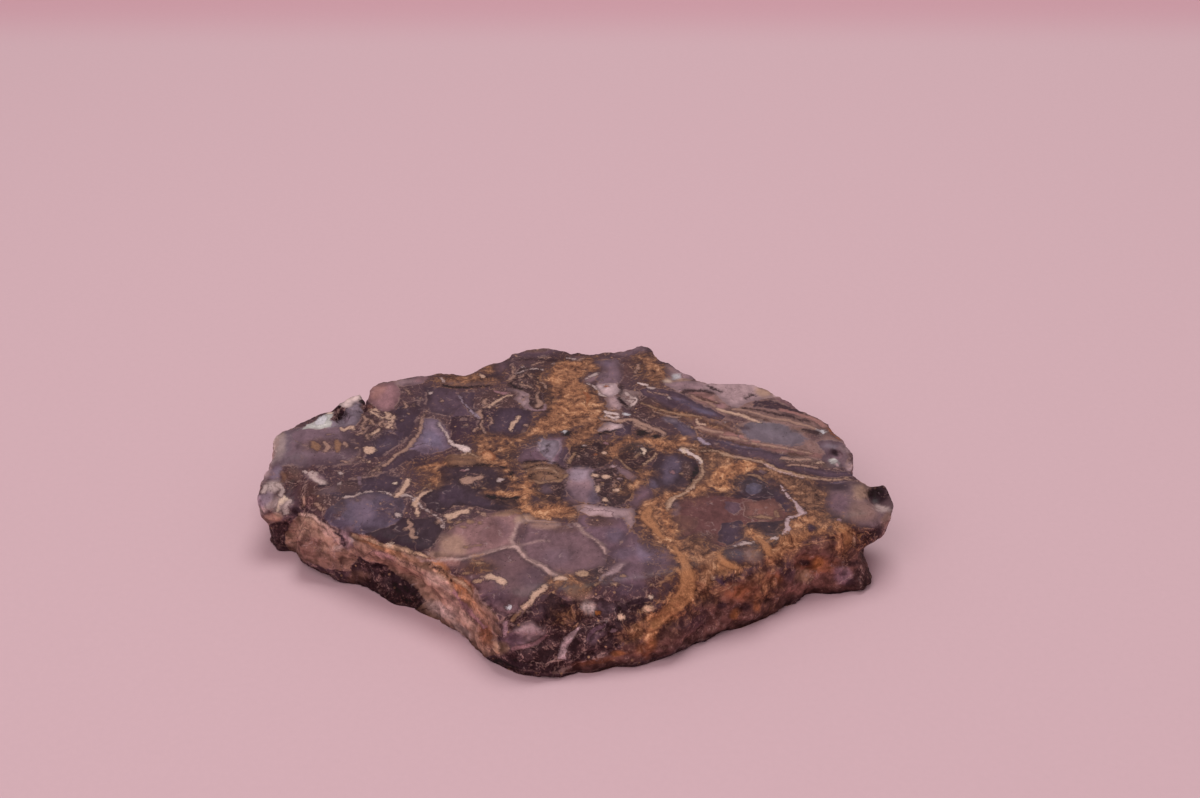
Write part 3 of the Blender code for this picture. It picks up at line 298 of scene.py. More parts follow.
# Soft clouds of colour: colour, x, y, half length, half width, angle, strength.
CLOUDS = (
    ("slate", -38.6, -14.2, 2.2, 5.2, -14, 0.75),
    ("slate", -36.4, 7.6, 2.4, 2, 30, 0.5),
    ("blue", -27.4, 9.4, 1.8, 3.4, 20, 0.5),
    ("blue", 21.4, 22.6, 3.4, 0.8, -38, 0.5),
    ("blue", 31, 7.6, 4.4, 0.9, -18, 0.4),
    ("dusk", -20, -9.6, 3.4, 1.4, -10, 0.45),
    ("violet", -8.6, 4.8, 2.2, 1.8, 0, 0.4),
    ("blue", 13, -26.6, 2.2, 3.4, 10, 0.45),
    ("blue", 3, -9.6, 0.9, 2, 0, 0.5),
    ("mist", -55.4, 8, 1.4, 5, 0, 0.6),
    ("sand", -56.8, 10.6, 0.9, 1.8, -15, 0.8),
    ("rind", -57.3, 7.2, 0.6, 3.4, 10, 0.9),
    ("haze", -49, 11, 5, 2.4, 0, 0.5),
    ("warm pink", -39.4, 26.6, 1.3, 3, -10, 0.8),
    ("pale lilac", -34.4, 30.4, 1.8, 0.9, 25, 0.7),
    ("pink", -31.4, 31.6, 1.3, 0.8, 20, 0.6),
    ("mist", -43, 21.6, 0.9, 1.6, 0, 0.8),
    ("sand", -45, 24.4, 1, 0.9, 40, 0.5),
    ("moss", -46.4, 18.6, 0.8, 2.4, 8, 0.7),
    ("plum", -32.8, 24.6, 1.3, 5.4, 12, 0.8),
    ("night", -30.4, 24, 1.6, 4.4, -5, 0.6),
    ("umber", -47.6, 7.4, 4.2, 2.4, 0, 0.55),
    ("night", -41, 8.4, 2.6, 3.4, 10, 0.6),
    ("moss", -39.6, 14.4, 2.2, 4.8, 10, 0.75),
    ("moss", -37, 17.4, 2.2, 2, 0, 0.6),
    ("lavender", -25.6, 12, 0.9, 3.6, 14, 0.9),
    ("violet", -28.4, 5.6, 2.6, 1.4, 30, 0.6),
    ("dark plum", -29, 2, 3, 1.6, 20, 0.8),
    ("dark plum", -44, -1.6, 6, 3.2, 5, 0.6),
    ("moss", -37.6, -0.6, 2, 1.4, 20, 0.6),
    ("dusk", -34.4, -5, 2.6, 2.4, 0, 0.6),
    ("umber", -41.6, -6.4, 2.2, 2.2, 0, 0.6),
    ("haze", -38.6, -10, 2.4, 1.2, 20, 0.6),
    ("lavender", -38, -14, 1.5, 3.6, 12, 0.5),
    ("moss", -42.6, -13.4, 1, 3.2, -8, 0.5),
    ("dark plum", -33.6, -13.4, 2.4, 3.4, 0, 0.5),
    ("night", -34.6, -20.4, 3.4, 1.6, -20, 0.7),
    ("dusk", -23, -8.4, 2, 3.4, 0, 0.8),
    ("dusk", -17.4, -11, 2.6, 1.2, 0, 0.7),
    ("coal", -13.4, -6.4, 0.7, 4.2, 15, 0.7),
    ("coal", -12.6, -11, 2.6, 1.2, -10, 0.7),
    ("dark brown", -19, -4.4, 3.6, 2.6, 0, 0.5),
    ("dark brown", -13.2, 5.4, 2, 3.2, 0, 0.8),
    ("dusk", -2.6, 4, 0.9, 3.6, -6, 0.8),
    ("umber", -15.4, 24.4, 4.4, 3.2, 30, 0.7),
    ("plum", -17.4, 28, 5, 1.2, 0, 0.6),
    ("rosy", -22, 30, 5.4, 1.2, 0, 0.8),
    ("night", -16.2, 32.6, 0.9, 2.2, 0, 0.8),
    ("mauve", -15.6, 36, 1, 2.4, -10, 0.6),
    ("bark", -18, 36, 1.2, 2.2, -20, 0.7),
    ("bark", -9, 43, 3, 1, 5, 0.7),
    ("dark brown", -3.6, 40, 2.2, 2.4, -30, 0.8),
    ("dark plum", -7, 41, 4, 1, 0, 0.5),
    ("dark brown", 0.4, 41.4, 2.2, 0.9, 0, 0.8),
    ("mauve", 0.2, 39.6, 1.4, 0.8, 0, 0.7),
    ("dusk", 5, 37.6, 1, 2.2, -20, 0.6),
    ("red brown", 9.6, 35.4, 1.4, 4.4, -5, 0.6),
    ("soot", 7.6, 42, 2.6, 0.9, 10, 0.7),
    ("lilac", 12.2, 43.8, 1.3, 1.4, 20, 0.7),
    ("moss", 12.4, 18.6, 3.2, 3, 0, 0.8),
    ("umber", 14, 22.6, 4.2, 1.6, -38, 0.7),
    ("lilac", 2.6, 32, 1, 2.2, -25, 0.7),
    ("lavender", 5, 37.4, 1.6, 1.4, 0, 0.6),
    ("haze", 9.6, 18.6, 0.8, 1, 0, 0.9),
    ("umber", 12, 36, 1.8, 4, 0, 0.6),
    ("haze", 10.4, 42.2, 3.4, 1.4, 20, 0.6),
    ("lilac", 21.4, 29, 3.4, 1.6, 0, 0.8),
    ("glass", 38, 11.6, 3.4, 2.6, -20, 0.7),
    ("bark", 42.6, 12.6, 2.2, 0.9, -25, 0.6),
    ("blue", 24.6, 19.4, 2.2, 0.9, -35, 0.6),
    ("mist", 17.8, 16.6, 1, 1.4, 30, 0.8),
    ("mist", 48, 7.2, 1.8, 0.8, -10, 0.7),
    ("coal", 48.4, 4.8, 0.9, 1.3, 20, 0.9),
    ("frost", 19.3, 32.4, 0.8, 1.2, 0, 0.9),
    ("pale cream", 17.6, 31, 0.9, 1, 20, 0.8),
    ("sand", 20.4, 31, 1.8, 0.5, 10, 0.7),
    ("sand", 36.6, 26.6, 1.7, 2.2, 30, 0.8),
    ("warm pink", 24.6, 24.4, 3.4, 1.7, -48, 0.9),
    ("pink", 27.4, 21.6, 1.8, 1.2, -20, 0.7),
    ("dark plum", 20, 22.6, 2.2, 1.2, -30, 0.5),
    ("dusk", 23.4, 21.6, 0.8, 3.2, 50, 0.6),
    ("bark", 42.6, 1.8, 4.4, 1.3, -12, 0.7),
    ("white", 48, 1.9, 1.1, 0.6, -45, 0.8),
    ("lilac", 49.8, 4, 0.8, 3.2, 0, 0.6),
    ("bark", 24.6, 3.6, 4.4, 2, -40, 0.9),
    ("bark", 24.2, -2.6, 1.6, 3, 0, 0.8),
    ("slate", 17.6, -0.4, 1.5, 4.6, -6, 0.9),
    ("slate", 13.8, -5.6, 0.9, 1.6, 15, 0.9),
    ("umber", 20.6, -1.2, 1, 3.2, 8, 0.6),
    ("soot", 8.2, -8.4, 1.4, 2.6, 0, 0.8),
    ("slate", 3.2, -9.4, 1, 2, 15, 0.8),
    ("pale lavender", 0.6, -2.2, 1.9, 2.4, 0, 0.75),
    ("haze", 0.4, -8.6, 2.4, 2.4, 0, 0.8),
    ("dusk", -1.6, -8.6, 1, 1.8, 0, 0.6),
    ("haze", -5.4, -6.8, 1.2, 1.6, 0, 0.6),
    ("tan", -12.4, -14.6, 2.6, 0.9, 10, 0.8),
    ("sand", -21.4, -24, 2.2, 3.4, 25, 0.6),
    ("tan", -23.4, -27, 1.2, 1, 0, 0.6),
    ("mauve", -14, -20, 2.6, 3.4, 0, 0.4),
    ("haze", -3.4, -27.6, 2.6, 2.2, 0, 0.6),
    ("umber", -2, -19.4, 2.4, 1.4, 0, 0.5),
    ("umber", 3.6, -16.6, 1.8, 1.4, 0, 0.7),
    ("lavender", 11.8, -26, 1, 1.6, 0, 0.7),
    ("slate", 8.6, -26.6, 2, 1.6, 0, 0.5),
    ("plum", 14, -31.4, 2.6, 3.4, 0, 0.7),
    ("lilac", 7.6, -30.6, 2.2, 0.8, 45, 0.7),
    ("dark brown", 4, -33, 2.2, 1.8, 0, 0.8),
    ("soot", 2.4, -36, 1.6, 1, 20, 0.7),
    ("tan", 0.6, -37.6, 2, 2.4, 20, 0.6),
    ("violet", 9, -37, 2.6, 1.6, 10, 0.7),
    ("coal", 9.6, -41.2, 4, 1.1, 25, 0.8),
    ("umber", 13.6, -34.6, 2, 1.6, 0, 0.6),
    ("umber", -16.6, -31, 3, 1.6, 0, 0.7),
    ("violet", -13.4, -39, 2.6, 2.2, 0, 0.6),
    ("violet", -6.6, -33.6, 3, 3, 0, 0.5),
    ("plum", -6.6, -42, 1.8, 3.4, 10, 0.8),
    ("pale lilac", -7.4, -49, 2.6, 2.6, 0, 0.55),
    ("coal", -4, -44, 0.9, 2.6, 15, 0.7),
    ("coal", -2.4, -41.6, 1.6, 0.7, 10, 0.7),
    ("chalk", 2.4, -42, 1.3, 1.9, 20, 0.8),
    ("coal", 4.4, -47, 4, 1.4, 20, 0.5),
    ("haze", 5.4, -42, 1.4, 1.8, 10, 0.5),
    ("mauve", 3.6, -50, 1.8, 1, 40, 0.4),
    ("coal", -10, -56.6, 4, 1.2, -15, 0.8),
    ("dark brown", 26.6, -8.8, 1.6, 0.7, 0, 0.8),
    ("lilac", 17.8, -13.6, 0.8, 1.8, 0, 0.9),
    ("umber", 22.6, -22, 3, 1.8, 0, 0.6),
    ("dusk", 27.6, -27.2, 2.1, 2.4, 0, 0.9),
    ("rosy", 31.8, -27.6, 1.5, 2.4, 0, 0.7),
    ("dark plum", 34.2, -2.4, 2.4, 1, -20, 0.6),
    ("night", 47.4, -6.2, 2.4, 1.6, 10, 0.9),
    ("slate", 48.2, -5, 1.2, 0.6, 0, 0.7),
    ("mauve", 47.4, -11.6, 2, 3.2, 0, 0.7),
    ("sand", 51.8, -8, 1.6, 2.6, 0, 0.6),
    ("rind", 51.4, -14, 2.6, 3, 0, 0.45),
    ("coal", 55, -8.6, 2.2, 3.4, -6, 0.95),
    ("chalk", 55.2, -13, 1.5, 0.9, -30, 0.7),
    ("rind", 55.4, -16.6, 0.9, 2.6, -25, 0.6),
    # painted shade: darker under the knob, where its underside curves away from the light
    ("dark brown", 51.6, -21.6, 1.9, 2.8, -10, 0.9),
    # west end and its rubble
    ("lavender", -55.4, -1.6, 1.2, 2.6, 0, 0.8),
    ("chalk", -57, 7, 0.9, 5, 5, 0.8),
    ("pale lilac", -57.6, -1, 0.9, 4, 0, 0.7),
    ("cream", -8.8, -16.4, 1.7, 1.3, 30, 0.8),
    ("warm pink", -22.4, -28.7, 2.8, 1.4, -30, 0.8),
    ("red brown", -14.6, -20.2, 1.7, 3.4, 8, 0.45),
    ("dusk", -10, -21, 0.7, 2.6, -10, 0.5),
    ("plum", 30.4, 14.4, 2.4, 1, -30, 0.8),
    ("plum", 13.2, -24.8, 1.5, 3.4, 25, 0.8),
    ("umber", 4.8, -17.2, 2.6, 1.6, 0, 0.6),
    ("slate", 7.4, -21.4, 1.6, 2, 0, 0.7),
    ("chalk", -56, 8, 1, 4.5, 5, 0.8),
    ("chalk", -56.4, -11.4, 1.3, 3.6, -8, 0.8),
    ("lilac", -41, -21, 0.9, 2.4, -35, 0.8),
    ("fawn", -5.2, -18.2, 2.4, 1.3, 0, 0.7),
    ("fawn", -23.4, -27.2, 2.2, 1.3, -20, 0.85),
    ("night", 40.8, 18.9, 1.7, 1.5, 0, 0.7),
    ("plum", 45.4, 10.6, 1.6, 1.2, 0, 0.7),
    ("pale lilac", 50.6, 6.4, 0.9, 1.6, 0, 0.8),
    ("pale lilac", 50.8, 0, 0.8, 1.8, 0, 0.7),
    ("bark", 21.8, -38.9, 2, 2.4, 0, 0.7),
    ("copper", 37.8, -36.6, 2.2, 1.5, 0, 0.8),
    ("amber", -34, -25, 5.6, 0.9, -34, 0.75),
    ("amber", -20.4, -36, 8.6, 1.1, -56, 0.7),
    ("hazel", -28, -28.6, 4.6, 1, -38, 0.6),
    ("haze", -52, -11.6, 1, 1.6, 0, 0.6),
    ("bark", -37.2, -33.8, 1.8, 1.6, 30, 0.8),
    ("rosy", 31.2, -26.8, 1.6, 2.6, 0, 0.85),
    ("chalk", -40.2, -23.4, 0.8, 2.8, -38, 0.6),
    ("rust", 33.6, -34, 2, 1.8, 0, 0.7),
    ("copper", 42.9, -34.2, 2.4, 2, 0, 0.7),
    ("rust", 29.6, -37, 5, 3, 25, 0.5),
    ("rust", 41.8, -30, 3.6, 2.4, 0, 0.6),
    ("mauve", -10, -50.6, 2.2, 1.8, 0, 0.8),
    ("plum", 30.9, 16.8, 2.2, 0.9, -30, 0.8),
    ("chalk", -55.4, -6.4, 1.6, 2, 0, 0.9),
    ("lavender", -56.4, -10, 1.2, 2.6, -12, 0.8),
    ("chalk", -53.4, -11.6, 1.6, 2.4, -15, 0.7),
    ("bark", -52.4, -3, 1.6, 3, 10, 0.7),
    ("dark brown", -51.8, -5.6, 1, 1.6, 10, 0.9),
    ("pale lilac", -48.4, -2.8, 2, 1, -40, 0.9),
    ("chalk", -46.8, -4.6, 0.9, 0.6, -40, 0.8),
    ("umber", -48.6, -7.6, 2, 3, 0, 0.8),
    ("coal", -50.4, -14, 1, 1.5, 20, 0.9),
    ("rind", -54, -15.6, 1.5, 1.6, -20, 0.9),
    ("umber", -46.4, -11.4, 2, 2.4, 0, 0.6),
    # rind of the south-west wall, and painted shade (coal) in the hollow under its ledge
    ("pale rind", -43.4, -20.4, 2.2, 0.8, -45, 0.8),
    ("lilac", -40.8, -23, 1, 2.6, 32, 0.8),
    ("red brown", -46.8, -24.4, 2.4, 3.6, 10, 0.8),
    ("red brown", -42, -28.6, 3.6, 1.8, -25, 0.6),
    ("orange", -36.8, -22.6, 2.6, 0.9, -28, 0.6),
    ("sand", -31, -25.2, 3, 0.7, -24, 0.7),
    ("pink", -33.4, -27.4, 2.4, 0.9, -30, 0.6),
    ("orange", -23.6, -30, 2.6, 0.7, -45, 0.5),
    ("orange", -18.8, -35.6, 1.4, 2.4, 35, 0.5),
    ("pale rind", -23, -35, 4, 1.3, -50, 0.7),
    ("pale rind", -19, -43, 4.4, 1.2, -58, 0.6),
    ("chalk", -22.4, -42.6, 3.4, 1.4, -45, 0.6),
    ("chalk", -18.6, -48, 2.8, 1, -50, 0.5),
    ("rust", -14.4, -49, 1.2, 2.8, 10, 0.7),
    ("tan", -12, -52.6, 1.3, 1.6, 0, 0.7),
    ("coal", -29.4, -35.2, 3.4, 2.2, -48, 0.8),
    ("coal", -34, -31.6, 2.4, 1.2, -40, 0.5),
    # south-east wall
    ("orange", 12.4, -49.4, 1, 3.4, 12, 0.7),
    ("rust", 11.6, -53.4, 1.6, 1.8, 0, 0.7),
    ("orange", 7.4, -54, 1.4, 0.6, 10, 0.7),
    ("rust", 3, -56, 3.4, 0.8, 15, 0.6),
    ("dark plum", 19.4, -45, 2.6, 3.4, -30, 0.6),
    ("rust", 27, -37, 2.4, 2, 0, 0.6),
    ("coal", 25, -41.6, 0.9, 0.8, 0, 0.8),
    ("coal", 28.6, -41.6, 0.8, 1.4, 15, 0.8),
    ("orange", 27.2, -43.8, 0.8, 1.6, -10, 0.6),
    ("orange", 30.8, -40.6, 0.7, 2.6, -8, 0.6),
    ("coal", 33, -39, 0.8, 2.4, -8, 0.6),
    ("dark plum", 36.6, -31, 1.3, 3.4, 0, 0.7),
    ("coal", 39.6, -29.4, 1.1, 0.9, 0, 0.9),
    ("orange", 42, -29.6, 0.9, 1.8, -15, 0.7),
    ("tan", 39.2, -33, 1.4, 1.9, 0, 0.7),
    ("coal", 44.2, -29, 0.6, 0.9, 0, 0.7),
    ("mauve", 46.2, -33.4, 1.6, 2.6, 15, 0.7),
    ("lilac", 46.4, -31.4, 0.7, 0.9, 0, 0.6),
    ("dark brown", 49, -34, 1.6, 3.4, -10, 0.7),
    ("umber", 47, -26.6, 1.3, 1.8, 0, 0.8),
    ("coal", 48, -29.6, 1.6, 0.8, 0, 0.7),
    ("coal", 45, -38.2, 5.4, 0.7, 4, 0.7),
)

# Granular golden moss: tone from 0, olive, to 1, orange, then places with their half widths.
GOLD_STROKES = (
    (0.65, (1, 37.6, 0.8), (-2.2, 34.6, 3.2), (-2.8, 31, 3), (-1.6, 27, 3.4), (-0.4, 23.4, 3.6),
     (-1.8, 19, 4.2), (-4.4, 15.4, 2.8), (-7, 13, 1.2)),
    (0.5, (1.6, 38.4, 1.2), (2.2, 36, 1.4)),
    (0.5, (2.4, 26.4, 0.8), (3.2, 22, 1.4), (3.2, 17.6, 1.6), (2.4, 14, 1.6), (0.6, 11, 1.5),
     (-0.8, 8.6, 0.7)),
    (0.45, (-5.4, 13.4, 0.8), (-7.6, 12, 0.4), (-10.4, 10.2, 0.45), (-12.6, 9.4, 0.5), (-15, 9.8, 0.5),
     (-18.2, 9.8, 0.5)),
    (0.4, (-18, 9.4, 0.5), (-17.2, 7, 1.4), (-16.6, 4, 1.6), (-16, 1.6, 0.8)),
    (0.4, (-15, 8.6, 0.5), (-13.6, 7.2, 0.5), (-14.4, 5.4, 0.3)),
    (0.5, (-14, 1.8, 0.9), (-12.8, 0.6, 0.8), (-12.6, -2, 0.35), (-11.6, -4.6, 0.5), (-10.8, -6.4, 1.2)),
    (0.6, (-28.4, -0.1, 0.3), (-26.6, 0.4, 0.6), (-24.6, 1.6, 0.5)),
    (0.55, (-26.4, -0.4, 0.6), (-25.7, -2.6, 0.6), (-26.4, -5, 0.7)),
    (0.75, (-8.8, -3.6, 0.6), (-9, -6.4, 1.1), (-9.4, -9.6, 1.2), (-9.6, -12.4, 0.8)),
    (0.7, (-15.4, -8.2, 0.4), (-12.4, -8.6, 0.8), (-9.6, -8, 1.2), (-7.6, -8.4, 0.6)),
    (0.75, (-7.6, -13.4, 1.4), (-5.4, -14, 2.3), (-2.8, -13.6, 2.1), (-1.2, -13.4, 1.2)),
    (0.6, (6.9, 4, 0.5), (7.6, 6.6, 0.9), (9.4, 8.8, 0.7), (12, 9.6, 0.7), (14.6, 9, 1), (16.6, 7.8, 1.8),
     (19, 8, 1.4), (20.4, 9.4, 0.8)),
    (0.1, (19.4, 7.6, 0.9), (22, 6.4, 1.2), (25.4, 4.4, 1.6), (28.6, 2.2, 1.5)),
    (0.85, (33.6, 1.6, 0.7), (31, 0.6, 1.5), (28.4, -0.8, 2.2), (26.8, -3.4, 1.8), (26.6, -6.2, 1.5)),
    (0.5, (24.4, -5, 1), (22.4, -7, 1.3), (20.6, -9, 0.6)),
    (0.55, (19.6, -8.8, 0.6), (16.8, -9.6, 1), (14.6, -11.4, 1.4), (13, -14, 1.8), (13.4, -17, 1.9),
     (15, -20, 2), (16.8, -23, 1.6), (18.8, -26, 1.4)),
    (1, (15.8, -13, 0.9), (16.2, -16.4, 1.1), (16.8, -20, 1)),
    (0.45, (13, -2, 0.3), (11.8, -3, 0.6), (11, -5, 0.5), (9.8, -7.4, 0.3)),
    (0.9, (18, -25.6, 1.2), (19.2, -29.6, 1.5), (19.6, -33.6, 1.8), (18.8, -37.4, 1.9), (17.4, -41, 1.8),
     (15.4, -44, 1.9), (13.2, -46, 1.6), (12.6, -49, 0.9)),
    (0.25, (20, -24, 1.2), (22.4, -27, 1.6), (23, -31, 1.8), (22.4, -35, 1.5), (21.6, -38.6, 1.6)),
    (0.75, (24.6, -27, 0.8), (25.6, -30, 1.1), (27.4, -31, 1)),
    (0.05, (35, -1, 0.5), (37, -2.6, 1.3), (40, -5, 2.2), (42, -8.4, 2.8), (42, -12, 2.2)),
    (0.6, (42, -15.4, 2.2), (41, -18, 2.4), (39, -21, 2.2), (36.8, -24.4, 1.8), (34.8, -27, 1.4),
     (34, -29, 0.8)),
    (1, (31.4, -20.8, 0.8), (32.6, -23, 1), (33.8, -25.6, 1.1)),
    (0.5, (46.6, -18, 1.6), (47.6, -20.4, 1.8), (47.2, -23.4, 1.4), (46, -26, 0.6)),
    (0.4, (44.4, -16.6, 1), (43.8, -20, 1)),
    (0.3, (-26.4, 31.6, 1), (-23.4, 31.8, 1.4), (-20, 31.4, 1), (-17.4, 31.4, 0.7)),
    (0.35, (-18.2, 36.4, 0.5), (-17.6, 34.8, 0.5)),
    (0.3, (13.4, 39.4, 0.8), (15, 36.6, 1.2), (15.8, 33.4, 1.4), (14.8, 30.8, 0.8)),
    (0.3, (16.8, 20, 0.3), (20, 18.8, 0.4), (23, 16.6, 0.4), (27, 13.6, 0.3)),
    (0.5, (-16.6, -29.4, 0.5), (-15.4, -30.2, 0.4)),
    (0.45, (0.6, -35.2, 0.6), (-1, -33.8, 0.8), (-3.6, -34.6, 0.5)),
    (0.2, (-2.2, -43.4, 0.5), (-1.2, -44.4, 0.4)),
    (0.5, (31.4, -33.6, 0.8), (32.6, -36.6, 0.9), (31.4, -40, 0.5)),
    (0.45, (10, -49.6, 0.7), (11, -47, 0.6)),
)

